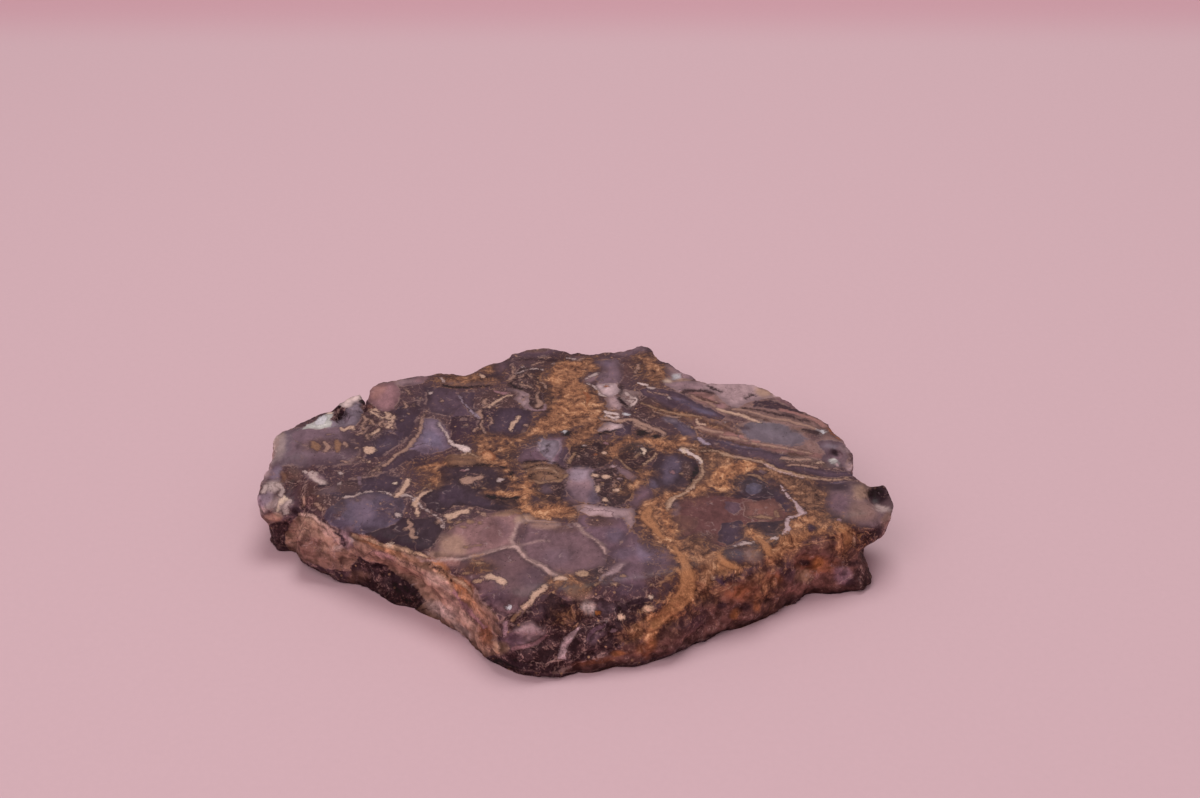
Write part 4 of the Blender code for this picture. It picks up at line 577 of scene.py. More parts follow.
# Strokes and streaks drawn sharply: colour, then places with their half widths.
STROKES = (
    # the worm and the other sticks of the west
    ("fawn", (-29.7, 18.4, 0.15), (-29.7, 16, 0.3), (-29.8, 13.4, 0.32), (-30.3, 10.8, 0.32),
     (-31.2, 8.4, 0.34), (-32.5, 6, 0.32), (-34, 3.6, 0.32), (-35.7, 0.9, 0.4)),
    ("cream", (-29.8, 14, 0.1), (-29.9, 12.6, 0.2)),
    ("cream", (-30.4, 10.4, 0.1), (-31, 9, 0.22)),
    ("cream", (-32, 7, 0.1), (-33, 5.2, 0.2)),
    ("cream", (-34.4, 2.9, 0.1), (-35.7, 0.9, 0.3)),
    ("cream", (-30.8, -3.5, 0.45), (-31.1, -5, 0.5), (-31.8, -7, 0.42), (-32.5, -8.8, 0.45)),
    ("cream", (-26.6, -7.7, 0.15), (-28, -9, 0.35), (-28.9, -11, 0.5), (-28.7, -13, 0.42),
     (-28, -15.4, 0.35)),
    ("chalk", (-28.3, -11.4, 0.2), (-27.4, -13, 0.18), (-25.8, -14.8, 0.18), (-24.2, -16.6, 0.15),
     (-23.4, -19, 0.15)),
    ("fawn", (-29.7, -16.8, 0.3), (-29.1, -18.2, 0.4), (-30.4, -19.4, 0.35)),
    ("fawn", (-29, -19.4, 0.4), (-28.8, -21.4, 0.45), (-28, -22, 0.35)),
    ("chalk", (-31.6, -8.8, 0.25), (-30.4, -9.3, 0.2), (-29.4, -10.4, 0.25)),
    ("tan", (-26.6, -5.4, 0.15), (-28.2, -7.2, 0.15), (-29.4, -8.6, 0.15)),
    ("chalk", (-42, -9.7, 0.35), (-40.2, -9.4, 0.2), (-39.2, -8.6, 0.12), (-37.6, -7.7, 0.15),
     (-35.8, -7.6, 0.15), (-33.6, -8.6, 0.2)),
    ("haze", (-40.4, -3, 0.4), (-39.6, -5.4, 0.4)),
    ("shell", (-24.2, 9.4, 0.2), (-23.2, 7.8, 0.4), (-22, 6.6, 0.7), (-20.8, 6.1, 0.7)),
    ("chalk", (-26.8, 16.4, 0.1), (-26, 14, 0.2), (-25.2, 11.6, 0.3), (-24.4, 9.8, 0.2)),
    ("cream", (-40.3, 19.9, 0.25), (-39.2, 18.4, 0.3), (-38, 17.5, 0.25), (-37.2, 17.6, 0.2)),
    ("cream", (-39.8, 20.2, 0.2), (-38.8, 19.8, 0.3), (-38.6, 18.8, 0.2)),
    ("cream", (-37.2, 19.4, 0.2), (-36.4, 18.6, 0.3), (-36.6, 17.4, 0.25), (-35.8, 17, 0.2)),
    ("cream", (-35.5, 17.9, 0.2), (-35.3, 16, 0.3)),
    ("cream", (-36.1, 16, 0.2), (-35.5, 14.6, 0.3), (-36.4, 13.8, 0.3), (-35.2, 13.5, 0.25)),
    ("fawn", (-37.5, 16.2, 0.25), (-38.2, 15.2, 0.3), (-37.4, 14.4, 0.2)),
    ("cream", (-38.3, 13.4, 0.2), (-38.6, 12, 0.3), (-38.9, 11, 0.3)),
    ("fawn", (-36.8, 15.4, 0.2), (-36.9, 14.3, 0.2)),
    ("fawn", (-41.3, 18.2, 0.2), (-40.5, 16.4, 0.25), (-41, 14.6, 0.2), (-40.5, 12.8, 0.25),
     (-41.5, 11.2, 0.3)),
    ("cream", (-45.4, 13.8, 0.25), (-44.5, 12.8, 0.4), (-44, 13.8, 0.4), (-43.1, 14.5, 0.4),
     (-42.8, 13.4, 0.3)),
    ("fawn", (-39.8, 16.8, 0.15), (-39.4, 15, 0.2)),
    ("fawn", (-33.6, 23.2, 0.2), (-33, 21.4, 0.3), (-33.4, 20.4, 0.2)),
    ("fawn", (-34, 27.6, 0.15), (-33.2, 25.6, 0.15)),
    ("hazel", (-50.2, 8.4, 0.3), (-49.4, 7.2, 0.6), (-48.6, 6, 0.3)),
    ("fawn", (-47.6, 8.4, 0.3), (-47, 7, 0.5), (-47.2, 5.4, 0.3)),
    ("hazel", (-45.4, 9.4, 0.3), (-45, 7.6, 0.7), (-44.6, 5.6, 0.4)),
    ("fawn", (-43.8, 8.8, 0.2), (-43.2, 7, 0.3)),
    ("fawn", (-44, 2.2, 0.2), (-42.6, 1.6, 0.35)),
    ("chalk", (-50.6, -1, 0.3), (-49.2, -2, 0.45), (-48, -3.6, 0.5), (-46.4, -5, 0.35)),
    ("chalk", (-49, -1, 0.2), (-48, -2.4, 0.3)),
    ("chalk", (-54.6, -5.6, 0.5), (-53.4, -7.6, 0.3), (-53.6, -9.4, 0.35)),
    ("pale cream", (-52.8, -9.4, 0.3), (-53.4, -11.4, 0.5), (-53.8, -13.4, 0.3)),
    ("chalk", (-51.8, -10.4, 0.25), (-52.4, -12.8, 0.35), (-51.8, -14.6, 0.3)),
    ("chalk", (-56.8, -6, 0.4), (-57, -8, 0.35)),
    ("bark", (-54.4, -1, 0.3), (-53.6, -3.4, 0.4), (-54, -5, 0.2)),
    ("fawn", (-49.4, -9, 0.2), (-48.8, -11, 0.3), (-49.2, -12.6, 0.2)),
    ("fawn", (-46.6, -12, 0.3), (-45.6, -13.4, 0.3)),
    ("night", (-47.2, -5.8, 0.2), (-45.6, -5.2, 0.2)),
    # the smooth strands of gold
    ("honey", (17.4, -24.6, 0.3), (18.6, -28, 0.7), (19.4, -31.6, 1), (19.2, -35.4, 1.2),
     (18.2, -39.4, 1.2), (16.4, -42.6, 1.2), (14, -45.4, 0.9), (12.4, -48, 0.5)),
    ("honey", (13.4, -13, 0.5), (12.8, -15.6, 0.8), (13.8, -18.8, 0.7), (15.6, -22, 0.4)),
    ("honey", (24.8, -27, 0.3), (25.8, -29.4, 0.7), (27.4, -30.8, 0.5)),
    ("honey", (32.6, -22, 0.3), (33.6, -24.6, 0.6), (34.2, -27.2, 0.3)),
    ("honey", (47, -19, 0.5), (47.8, -21.2, 0.8), (47.2, -23.8, 0.4)),
    # the pale lines round the eye and along the band
    ("shell", (19.4, 5.7, 0.3), (21.2, 4.7, 0.35), (22.8, 3, 0.35), (23.2, 1, 0.2)),
    ("fawn", (26.6, 5, 0.1), (29, 3.8, 0.2), (32.4, 2.8, 0.2), (34.5, 1.4, 0.2)),
    ("blush", (34.5, 1.4, 0.2), (36.4, -0.6, 0.25), (39, -1.9, 0.25), (42, -3, 0.2)),
    ("fawn", (42, -3, 0.2), (46, -4, 0.15), (50.4, -4.1, 0.15)),
    ("cream", (21.6, -5.6, 0.1), (20.2, -8, 0.2), (17.6, -10.4, 0.25), (16.6, -13, 0.15)),
    # north
    ("pale lavender", (-23.6, 26, 0.05), (-21.8, 22, 0.1), (-20.6, 19.6, 0.26), (-19.3, 16.8, 0.12)),
    ("cream", (-12.8, 12.8, 0.3), (-12.6, 14.8, 0.4), (-11.8, 16.2, 0.35), (-11.1, 17.6, 0.2)),
    ("fawn", (-16.8, 17.2, 0.2), (-16.4, 15.4, 0.3)),
    ("fawn", (-18.8, 20, 0.25), (-18.9, 18, 0.35), (-18.4, 16, 0.2), (-18, 14, 0.2), (-17.2, 11.4, 0.15)),
    ("fawn", (-19.6, 12.6, 0.35), (-18.8, 13.4, 0.25)),
    ("fawn", (-18.4, 20.6, 0.2), (-17.4, 21.6, 0.25), (-18.4, 22.8, 0.25), (-17.8, 24.4, 0.2)),
    ("cream", (-13, 25.7, 0.2), (-14.4, 25, 0.25), (-15.4, 23.6, 0.3), (-16.4, 22.4, 0.25),
     (-17.2, 21, 0.2)),
    ("pink", (-16.4, 27.2, 0.3), (-15, 26.4, 0.4), (-13.4, 26.6, 0.25)),
    ("fawn", (-7.7, 27.2, 0.1), (-8.3, 25.4, 0.2), (-8, 23.8, 0.28), (-7.4, 22.4, 0.35),
     (-8.2, 21.4, 0.35)),
    ("lilac", (-9.8, 21.4, 0.3), (-8.8, 20.2, 0.35), (-7.4, 20, 0.3), (-6.6, 20.8, 0.35), (-6.5, 22, 0.3)),
    ("fawn", (-9.6, 25.2, 0.15), (-10.6, 23.4, 0.15)),
    ("fawn", (-9.3, 36.8, 0.2), (-8.2, 37.8, 0.25), (-7, 38, 0.15)),
    ("fawn", (-7.8, 40.1, 0.15), (-6, 40.3, 0.2)),
    ("fawn", (-13.1, 36.6, 0.15), (-12.9, 34.6, 0.2), (-13.1, 32.8, 0.2), (-13.7, 31, 0.2)),
    ("chalk", (-12.4, 33.8, 0.1), (-11, 35, 0.15), (-9, 35.3, 0.12), (-7.4, 35, 0.15)),
    ("fawn", (-12.6, 31.8, 0.1), (-11.2, 32.8, 0.15), (-10.4, 34, 0.1)),
    ("fawn", (-9.8, 33.6, 0.15), (-9.1, 32, 0.2)),
    ("fawn", (-8.6, 31, 0.15), (-7, 30, 0.15), (-6.2, 28.4, 0.15)),
    ("fawn", (-11.6, 29.6, 0.15), (-10, 29, 0.2), (-9, 28, 0.15)),
    ("coal", (-27, 29.2, 0.2), (-24, 28.7, 0.35), (-20, 28.8, 0.25), (-17, 29, 0.2)),
    ("coal", (-13.6, 29.6, 0.2), (-12.4, 28.2, 0.3), (-10.8, 27.8, 0.2)),
    ("dark brown", (-11.6, 39, 0.3), (-8.6, 39.4, 0.2), (-5, 38.6, 0.4)),
    ("cream", (-19.6, 33.3, 0.2), (-18.9, 31.8, 0.35)),
    ("chalk", (-27.4, 32, 0.2), (-27, 30.2, 0.2)),
    ("chalk", (-2, 39.8, 0.2), (-0.6, 39.2, 0.25)),
    ("fawn", (0.2, 38.6, 0.2), (1.4, 39.4, 0.2)),
    ("chalk", (1.6, 31.4, 0.15), (2.4, 32.6, 0.25), (3.2, 33.4, 0.3), (3.8, 33.6, 0.2)),
    ("chalk", (2, 30.2, 0.1), (3, 28.6, 0.2), (3.8, 27, 0.25), (4.6, 25.6, 0.3), (5.4, 24.8, 0.2)),
    ("dark brown", (8.6, 29.4, 0.15), (8.8, 27.2, 0.2), (8.2, 25.2, 0.2)),
    ("chalk", (9.4, 26.6, 0.25), (10, 25.2, 0.3), (10.8, 24.4, 0.25)),
    ("chalk", (9.7, 23.8, 0.3), (10.6, 22.8, 0.35), (10.4, 21.4, 0.25)),
    ("shell", (11.2, 24.6, 0.2), (11.4, 23.2, 0.3), (10.9, 22, 0.2)),
    ("shell", (12.2, 30.2, 0.3), (13, 29.4, 0.4), (13.6, 29, 0.3)),
    ("chalk", (13.8, 28.2, 0.2), (14.8, 27.8, 0.3)),
    ("fawn", (11.6, 34, 0.2), (12.2, 35.6, 0.3), (12, 37, 0.2)),
    ("shell", (5.2, 19.6, 0.3), (6, 18.8, 0.4), (7.2, 18.6, 0.3), (8, 18, 0.3)),
    ("shell", (5.4, 17.8, 0.3), (6.6, 17.2, 0.35), (7.8, 17.4, 0.25)),
    ("frost", (9.2, 18.8, 0.35), (10.2, 18.2, 0.3)),
    ("coal", (4.2, 11.4, 0.2), (5.4, 11.8, 0.3), (6.4, 12.4, 0.3), (7.2, 13.1, 0.2)),
    ("fawn", (4.6, 16.7, 0.3), (8, 16.2, 0.4), (10.6, 16.1, 0.45), (12.4, 15, 0.45), (14.4, 13.6, 0.4),
     (16, 12, 0.35), (16.2, 10.9, 0.2)),
    ("fawn", (11, 14.8, 0.25), (12.4, 13.8, 0.3), (13.8, 12.6, 0.25)),
    ("tan", (12.6, 22.8, 0.15), (15, 20.8, 0.25), (18, 19.2, 0.3), (20.4, 18.7, 0.3), (22.6, 17.8, 0.25),
     (24, 16.8, 0.2)),
    ("fawn", (14.6, 19.6, 0.15), (17, 18, 0.2), (19.4, 17.6, 0.2)),
    ("fawn", (14.2, 26.6, 0.2), (16, 25.8, 0.2), (17.6, 25.6, 0.2)),
    ("rust", (1.4, 26.8, 0.3), (2, 24.6, 0.4), (1.6, 22.4, 0.3)),
    ("night", (-5.2, 7.8, 0.12), (-5.6, 6, 0.15), (-6.4, 5.2, 0.1)),
    # the striped lens and the lines of the middle
    ("coal", (-9.8, 1.4, 0.15), (-7.2, 2, 0.15), (-4.4, 1.6, 0.15), (-2, -0.4, 0.2)),
    ("coal", (-9.6, -0.6, 0.1), (-7.4, 0.6, 0.12), (-5, 0.4, 0.12), (-3, -1.2, 0.1)),
    ("sand", (-9.2, -1.4, 0.12), (-7, -0.4, 0.2), (-4.8, -0.6, 0.2), (-3.2, -1.8, 0.15)),
    ("coal", (-8.8, -2.8, 0.1), (-7, -1.8, 0.12), (-5, -2, 0.12), (-3.4, -2.8, 0.1)),
    ("tan", (-8.6, -4.3, 0.15), (-6, -4.9, 0.2), (-3.4, -4.2, 0.25), (-1.6, -2.2, 0.2)),
    ("sand", (-22, 4.6, 0.15), (-20, 4.8, 0.15), (-18.4, 3.6, 0.15)),
    ("bark", (-23.6, 3.2, 0.2), (-21, 3, 0.2), (-19, 2.2, 0.2)),
    ("rust", (-17.8, 4.8, 0.2), (-16.8, 5.6, 0.25), (-15.7, 4.6, 0.25), (-15.6, 3.2, 0.25),
     (-16.6, 2.3, 0.2)),
    ("coal", (-24, 0.7, 0.15), (-19, 0.8, 0.2), (-15, 0.5, 0.2), (-12.6, -1, 0.2), (-11.8, -3.6, 0.2)),
    ("coal", (-16, -9.2, 0.3), (-13.6, -9.8, 0.5), (-11, -9.8, 0.4)),
    ("coal", (7.8, 24.4, 0.2), (8.6, 22.6, 0.3), (9.6, 21.2, 0.2)),
    # north-east stripes
    ("dark brown", (26, 29, 0.2), (27, 27.8, 0.3), (28.2, 26.8, 0.15)),
    ("dark brown", (32.6, 24.4, 0.25), (33.6, 25.3, 0.3), (34.8, 25.3, 0.15)),
    ("dark brown", (20.4, 26.8, 0.2), (22.6, 27.2, 0.25), (25, 27, 0.2), (26.8, 26, 0.15)),
    ("umber", (23, 25, 0.2), (25, 23.6, 0.3), (26.6, 22.6, 0.4), (27.6, 22.2, 0.3)),
    ("fawn", (22, 25.6, 0.2), (23.4, 24, 0.3), (25.2, 22.6, 0.25), (26.4, 21, 0.3)),
    ("cream", (27, 20.2, 0.2), (29.4, 19.2, 0.35), (32, 17.8, 0.4), (34, 16.6, 0.42), (35.3, 15.7, 0.3)),
    ("fawn", (30.4, 20.6, 0.3), (34, 19.2, 0.35), (37.6, 17.2, 0.35), (42, 15.4, 0.4), (45.6, 13.4, 0.35)),
    ("dark brown", (32, 21, 0.2), (35.6, 19.9, 0.25), (38.6, 18.4, 0.3), (42, 17.1, 0.25),
     (44.4, 15.8, 0.2)),
    ("umber", (31, 19.2, 0.2), (34.4, 17.6, 0.25), (37, 16.2, 0.2)),
    ("warm pink", (39.4, 20.2, 0.4), (42.6, 18.6, 0.5), (45.4, 16.6, 0.6), (47.2, 14.4, 0.5)),
    ("dark brown", (43.4, 12.6, 0.4), (45.2, 12, 0.6), (46, 12.6, 0.3)),
    ("frost", (46.6, 13, 0.2), (47, 12, 0.3), (46.6, 11.2, 0.2)),
    ("rust", (48, 13.4, 0.4), (48.8, 11.4, 0.4), (49.6, 9.8, 0.3)),
    ("cream", (22.6, 16.4, 0.2), (23.2, 15, 0.3), (24.8, 14.6, 0.2)),
    ("fawn", (22.6, 13.6, 0.3), (24, 13.4, 0.45), (26, 12.4, 0.35), (27.8, 12, 0.3)),
    ("fawn", (27, 10.9, 0.3), (29, 10.2, 0.4), (32, 9.4, 0.3)),
    ("umber", (26, 15, 0.2), (29, 12.9, 0.2), (31.8, 11.6, 0.2)),
    ("umber", (24, 12.2, 0.15), (27, 10.2, 0.2), (30, 8.6, 0.2), (34, 7.1, 0.2)),
    ("fawn", (33, 8.6, 0.3), (37, 7, 0.35), (41, 5.9, 0.3), (44, 5.2, 0.2)),
    ("fawn", (38.2, 3.5, 0.35), (41, 3, 0.4), (43.4, 2.9, 0.35)),
    ("fawn", (39.4, 0.9, 0.3), (42, 0.6, 0.35), (44.6, -0.2, 0.25)),
    ("cream", (44, 1.6, 0.2), (45.6, 1.8, 0.3)),
    ("umber", (39.6, 4.6, 0.5), (41.4, 4.4, 0.4), (43, 4, 0.3)),
    ("pale lavender", (22.9, 10.4, 0.3), (23.6, 8.8, 0.5), (24.6, 7.8, 0.4)),
    # the pale line from the middle to the knob
    ("sand", (19.6, 6.6, 0.2), (23, 5.6, 0.15), (26, 5.2, 0.2), (28, 4.2, 0.3), (30, 3.3, 0.25),
     (33, 2.7, 0.25), (34.6, 2, 0.3), (36, 0.6, 0.45), (37.6, -0.6, 0.45), (40, -1.8, 0.35), (43, -3, 0.25),
     (46, -3.8, 0.3), (49.6, -3.6, 0.2)),
    # round the purple oval
    ("pale cream", (19.7, 5.8, 0.3), (20.4, 5, 0.35), (21.6, 4.3, 0.2), (22.8, 3.2, 0.3),
     (23.2, 2.2, 0.25)),
    ("sand", (23.2, 2, 0.2), (23.3, 0, 0.2), (23.2, -2.4, 0.25), (22, -4.4, 0.2), (20.9, -6, 0.2),
     (20, -8.2, 0.25), (18, -9.8, 0.3), (16.9, -11, 0.3), (16.3, -13.6, 0.2)),
    ("coal", (22.6, 0.6, 0.2), (22.1, -1.6, 0.3), (21.2, -3.8, 0.35), (20.4, -5, 0.15)),
    ("sand", (15, 5, 0.2), (14, 3, 0.15), (12.8, 1.2, 0.2)),
    ("tan", (7.2, 3.2, 0.2), (8.8, 1.2, 0.25), (10, -0.6, 0.15)),
    ("grey", (11.8, 7.4, 0.25), (12.8, 7.2, 0.2)),
    ("pale cream", (12.3, 6.4, 0.3), (12.7, 5.4, 0.3), (12.5, 4.6, 0.25)),
    ("tan", (11.5, 4.8, 0.2), (10.9, 3.2, 0.3)),
    ("tan", (-0.3, 4.8, 0.15), (-0.8, 3.4, 0.3), (-1.4, 1.8, 0.2)),
    ("frost", (-2.9, 12.3, 0.15), (-2.2, 12.9, 0.15)),
    # fractures of the pinkish cells
    ("tan", (-19, -24.6, 0.12), (-16, -24.2, 0.12)),
    ("cream", (-4.8, -35.8, 0.35), (-6.4, -38.4, 0.5), (-8.4, -42, 0.45)),
    ("tan", (-9, -43.4, 0.4), (-10.4, -45.4, 0.4)),
    ("tan", (0.4, -38.6, 0.15), (3.4, -36, 0.15), (5.4, -33.6, 0.1)),
    # nose
    ("pale lilac", (0.8, -47.4, 0.3), (0, -48.6, 0.45), (-1, -50.4, 0.5), (-1.5, -52.4, 0.5),
     (-1.7, -54.6, 0.5)),
    ("mauve", (4.6, -46.4, 0.2), (3, -49, 0.25), (2.6, -50.6, 0.2)),
    ("pink", (-9.6, -52.4, 0.5), (-7, -52, 0.45), (-4.4, -49.8, 0.4)),
    ("lilac", (-11.6, -45.6, 0.4), (-11.4, -49.4, 0.3)),
    # the line round the eye
    ("milk", (37.4, -6, 0.1), (38.2, -8, 0.18), (39.1, -10.6, 0.22), (40, -13, 0.28), (40.6, -14.4, 0.34),
     (39.4, -15.6, 0.24), (38.2, -16.4, 0.28), (37.9, -18, 0.34), (37.6, -19.4, 0.28), (36.6, -20.8, 0.2)),
    ("tan", (31.2, -15.6, 0.2), (33.4, -15.6, 0.3), (35.2, -16.2, 0.2)),
    ("tan", (36.4, -15.6, 0.25), (36, -14, 0.25)),
    ("tan", (31.4, -2.4, 0.15), (33.4, -2.7, 0.2), (34.4, -4, 0.2)),
    ("grey", (34.2, -1.2, 0.35), (35, -1.8, 0.35)),
    ("sand", (24, -32.8, 0.25), (24.1, -34, 0.2)),
    ("sand", (48.9, -21.6, 0.2), (49, -24.4, 0.2)),
    ("sand", (40, -35, 0.2), (41, -33.6, 0.2)),
    # rind edges
    ("pale rind", (-49.4, -15, 0.4), (-47.2, -15.4, 0.4), (-45.4, -17.4, 0.35), (-43.6, -19, 0.3),
     (-42.4, -21.6, 0.25), (-41.6, -23.8, 0.2)),
    ("sand", (-39.2, -21.4, 0.5), (-37, -22.6, 0.5), (-34.6, -23.6, 0.4), (-31.6, -25, 0.45),
     (-28.4, -26.2, 0.4), (-25.6, -28, 0.3)),
    ("night", (-43.2, -19.8, 0.15), (-41.6, -22, 0.2), (-40.6, -24, 0.15)),
    ("night", (-45.4, -16.8, 0.25), (-44, -18, 0.2)),
    ("sand", (-20.6, -34, 0.3), (-18.8, -35.4, 0.35), (-17.6, -38, 0.25)),
    ("pink", (-20.4, -37, 0.3), (-18.6, -41, 0.35), (-16.4, -45, 0.35), (-14.8, -47, 0.3)),
    ("dark brown", (-25, -30, 0.2), (-23, -32, 0.2), (-21, -34.4, 0.15)),
    ("coal", (-53.6, 15.6, 0.2), (-52.2, 17, 0.3), (-51, 18.2, 0.25)),
    ("coal", (-42.1, 24.8, 0.25), (-41.8, 23.2, 0.35), (-41.3, 22, 0.25)),
    ("red brown", (-40.7, 21.6, 0.35), (-40.3, 20.8, 0.3)),
)

# Soft pale seams in the clear stone: colour, strength, then places with their half widths.
SEAMS = (
    ("blush", 0.8, (-26.4, -29, 0.15), (-20, -28.3, 0.2), (-16, -26.8, 0.2), (-12.5, -25, 0.25),
     (-10.8, -24.4, 0.35)),
    ("blush", 0.4, (-10, -24.2, 0.15), (-7, -23.2, 0.1), (-4.6, -23, 0.05)),
    ("blush", 0.75, (-11, -24, 0.25), (-11, -21.5, 0.15), (-10.2, -18.8, 0.15), (-9, -16.8, 0.2)),
    ("blush", 0.9, (-10.4, -24.4, 0.25), (-8.4, -27.8, 0.3), (-5.4, -31, 0.35), (-2.4, -33.6, 0.3)),
    ("blush", 0.8, (0, -17.8, 0.2), (2, -20.6, 0.25), (4, -23.2, 0.2), (5.4, -26.2, 0.1)),
    ("pale lavender", 0.7, (-6.6, 9.6, 0.1), (-6.9, 6.4, 0.2), (-6.2, 4.8, 0.1), (-5, 3.2, 0.15),
     (-4.6, 1.6, 0.25)),
    ("pale lavender", 0.6, (-3.4, 9.4, 0.1), (-3.2, 7, 0.2), (-3.8, 4.8, 0.1)),
    ("pale lavender", 0.5, (3, -0.6, 0.1), (2.8, -4, 0.1), (3.8, -9, 0.1)),
    ("pale lilac", 0.8, (4.6, -34.4, 0.1), (6.6, -32, 0.3), (8.6, -30, 0.2)),
    ("blush", 0.6, (-8.8, -17, 0.1), (-6, -17.4, 0.3), (-2.6, -18, 0.2)),
)
SEAM_SOFT = 0.42

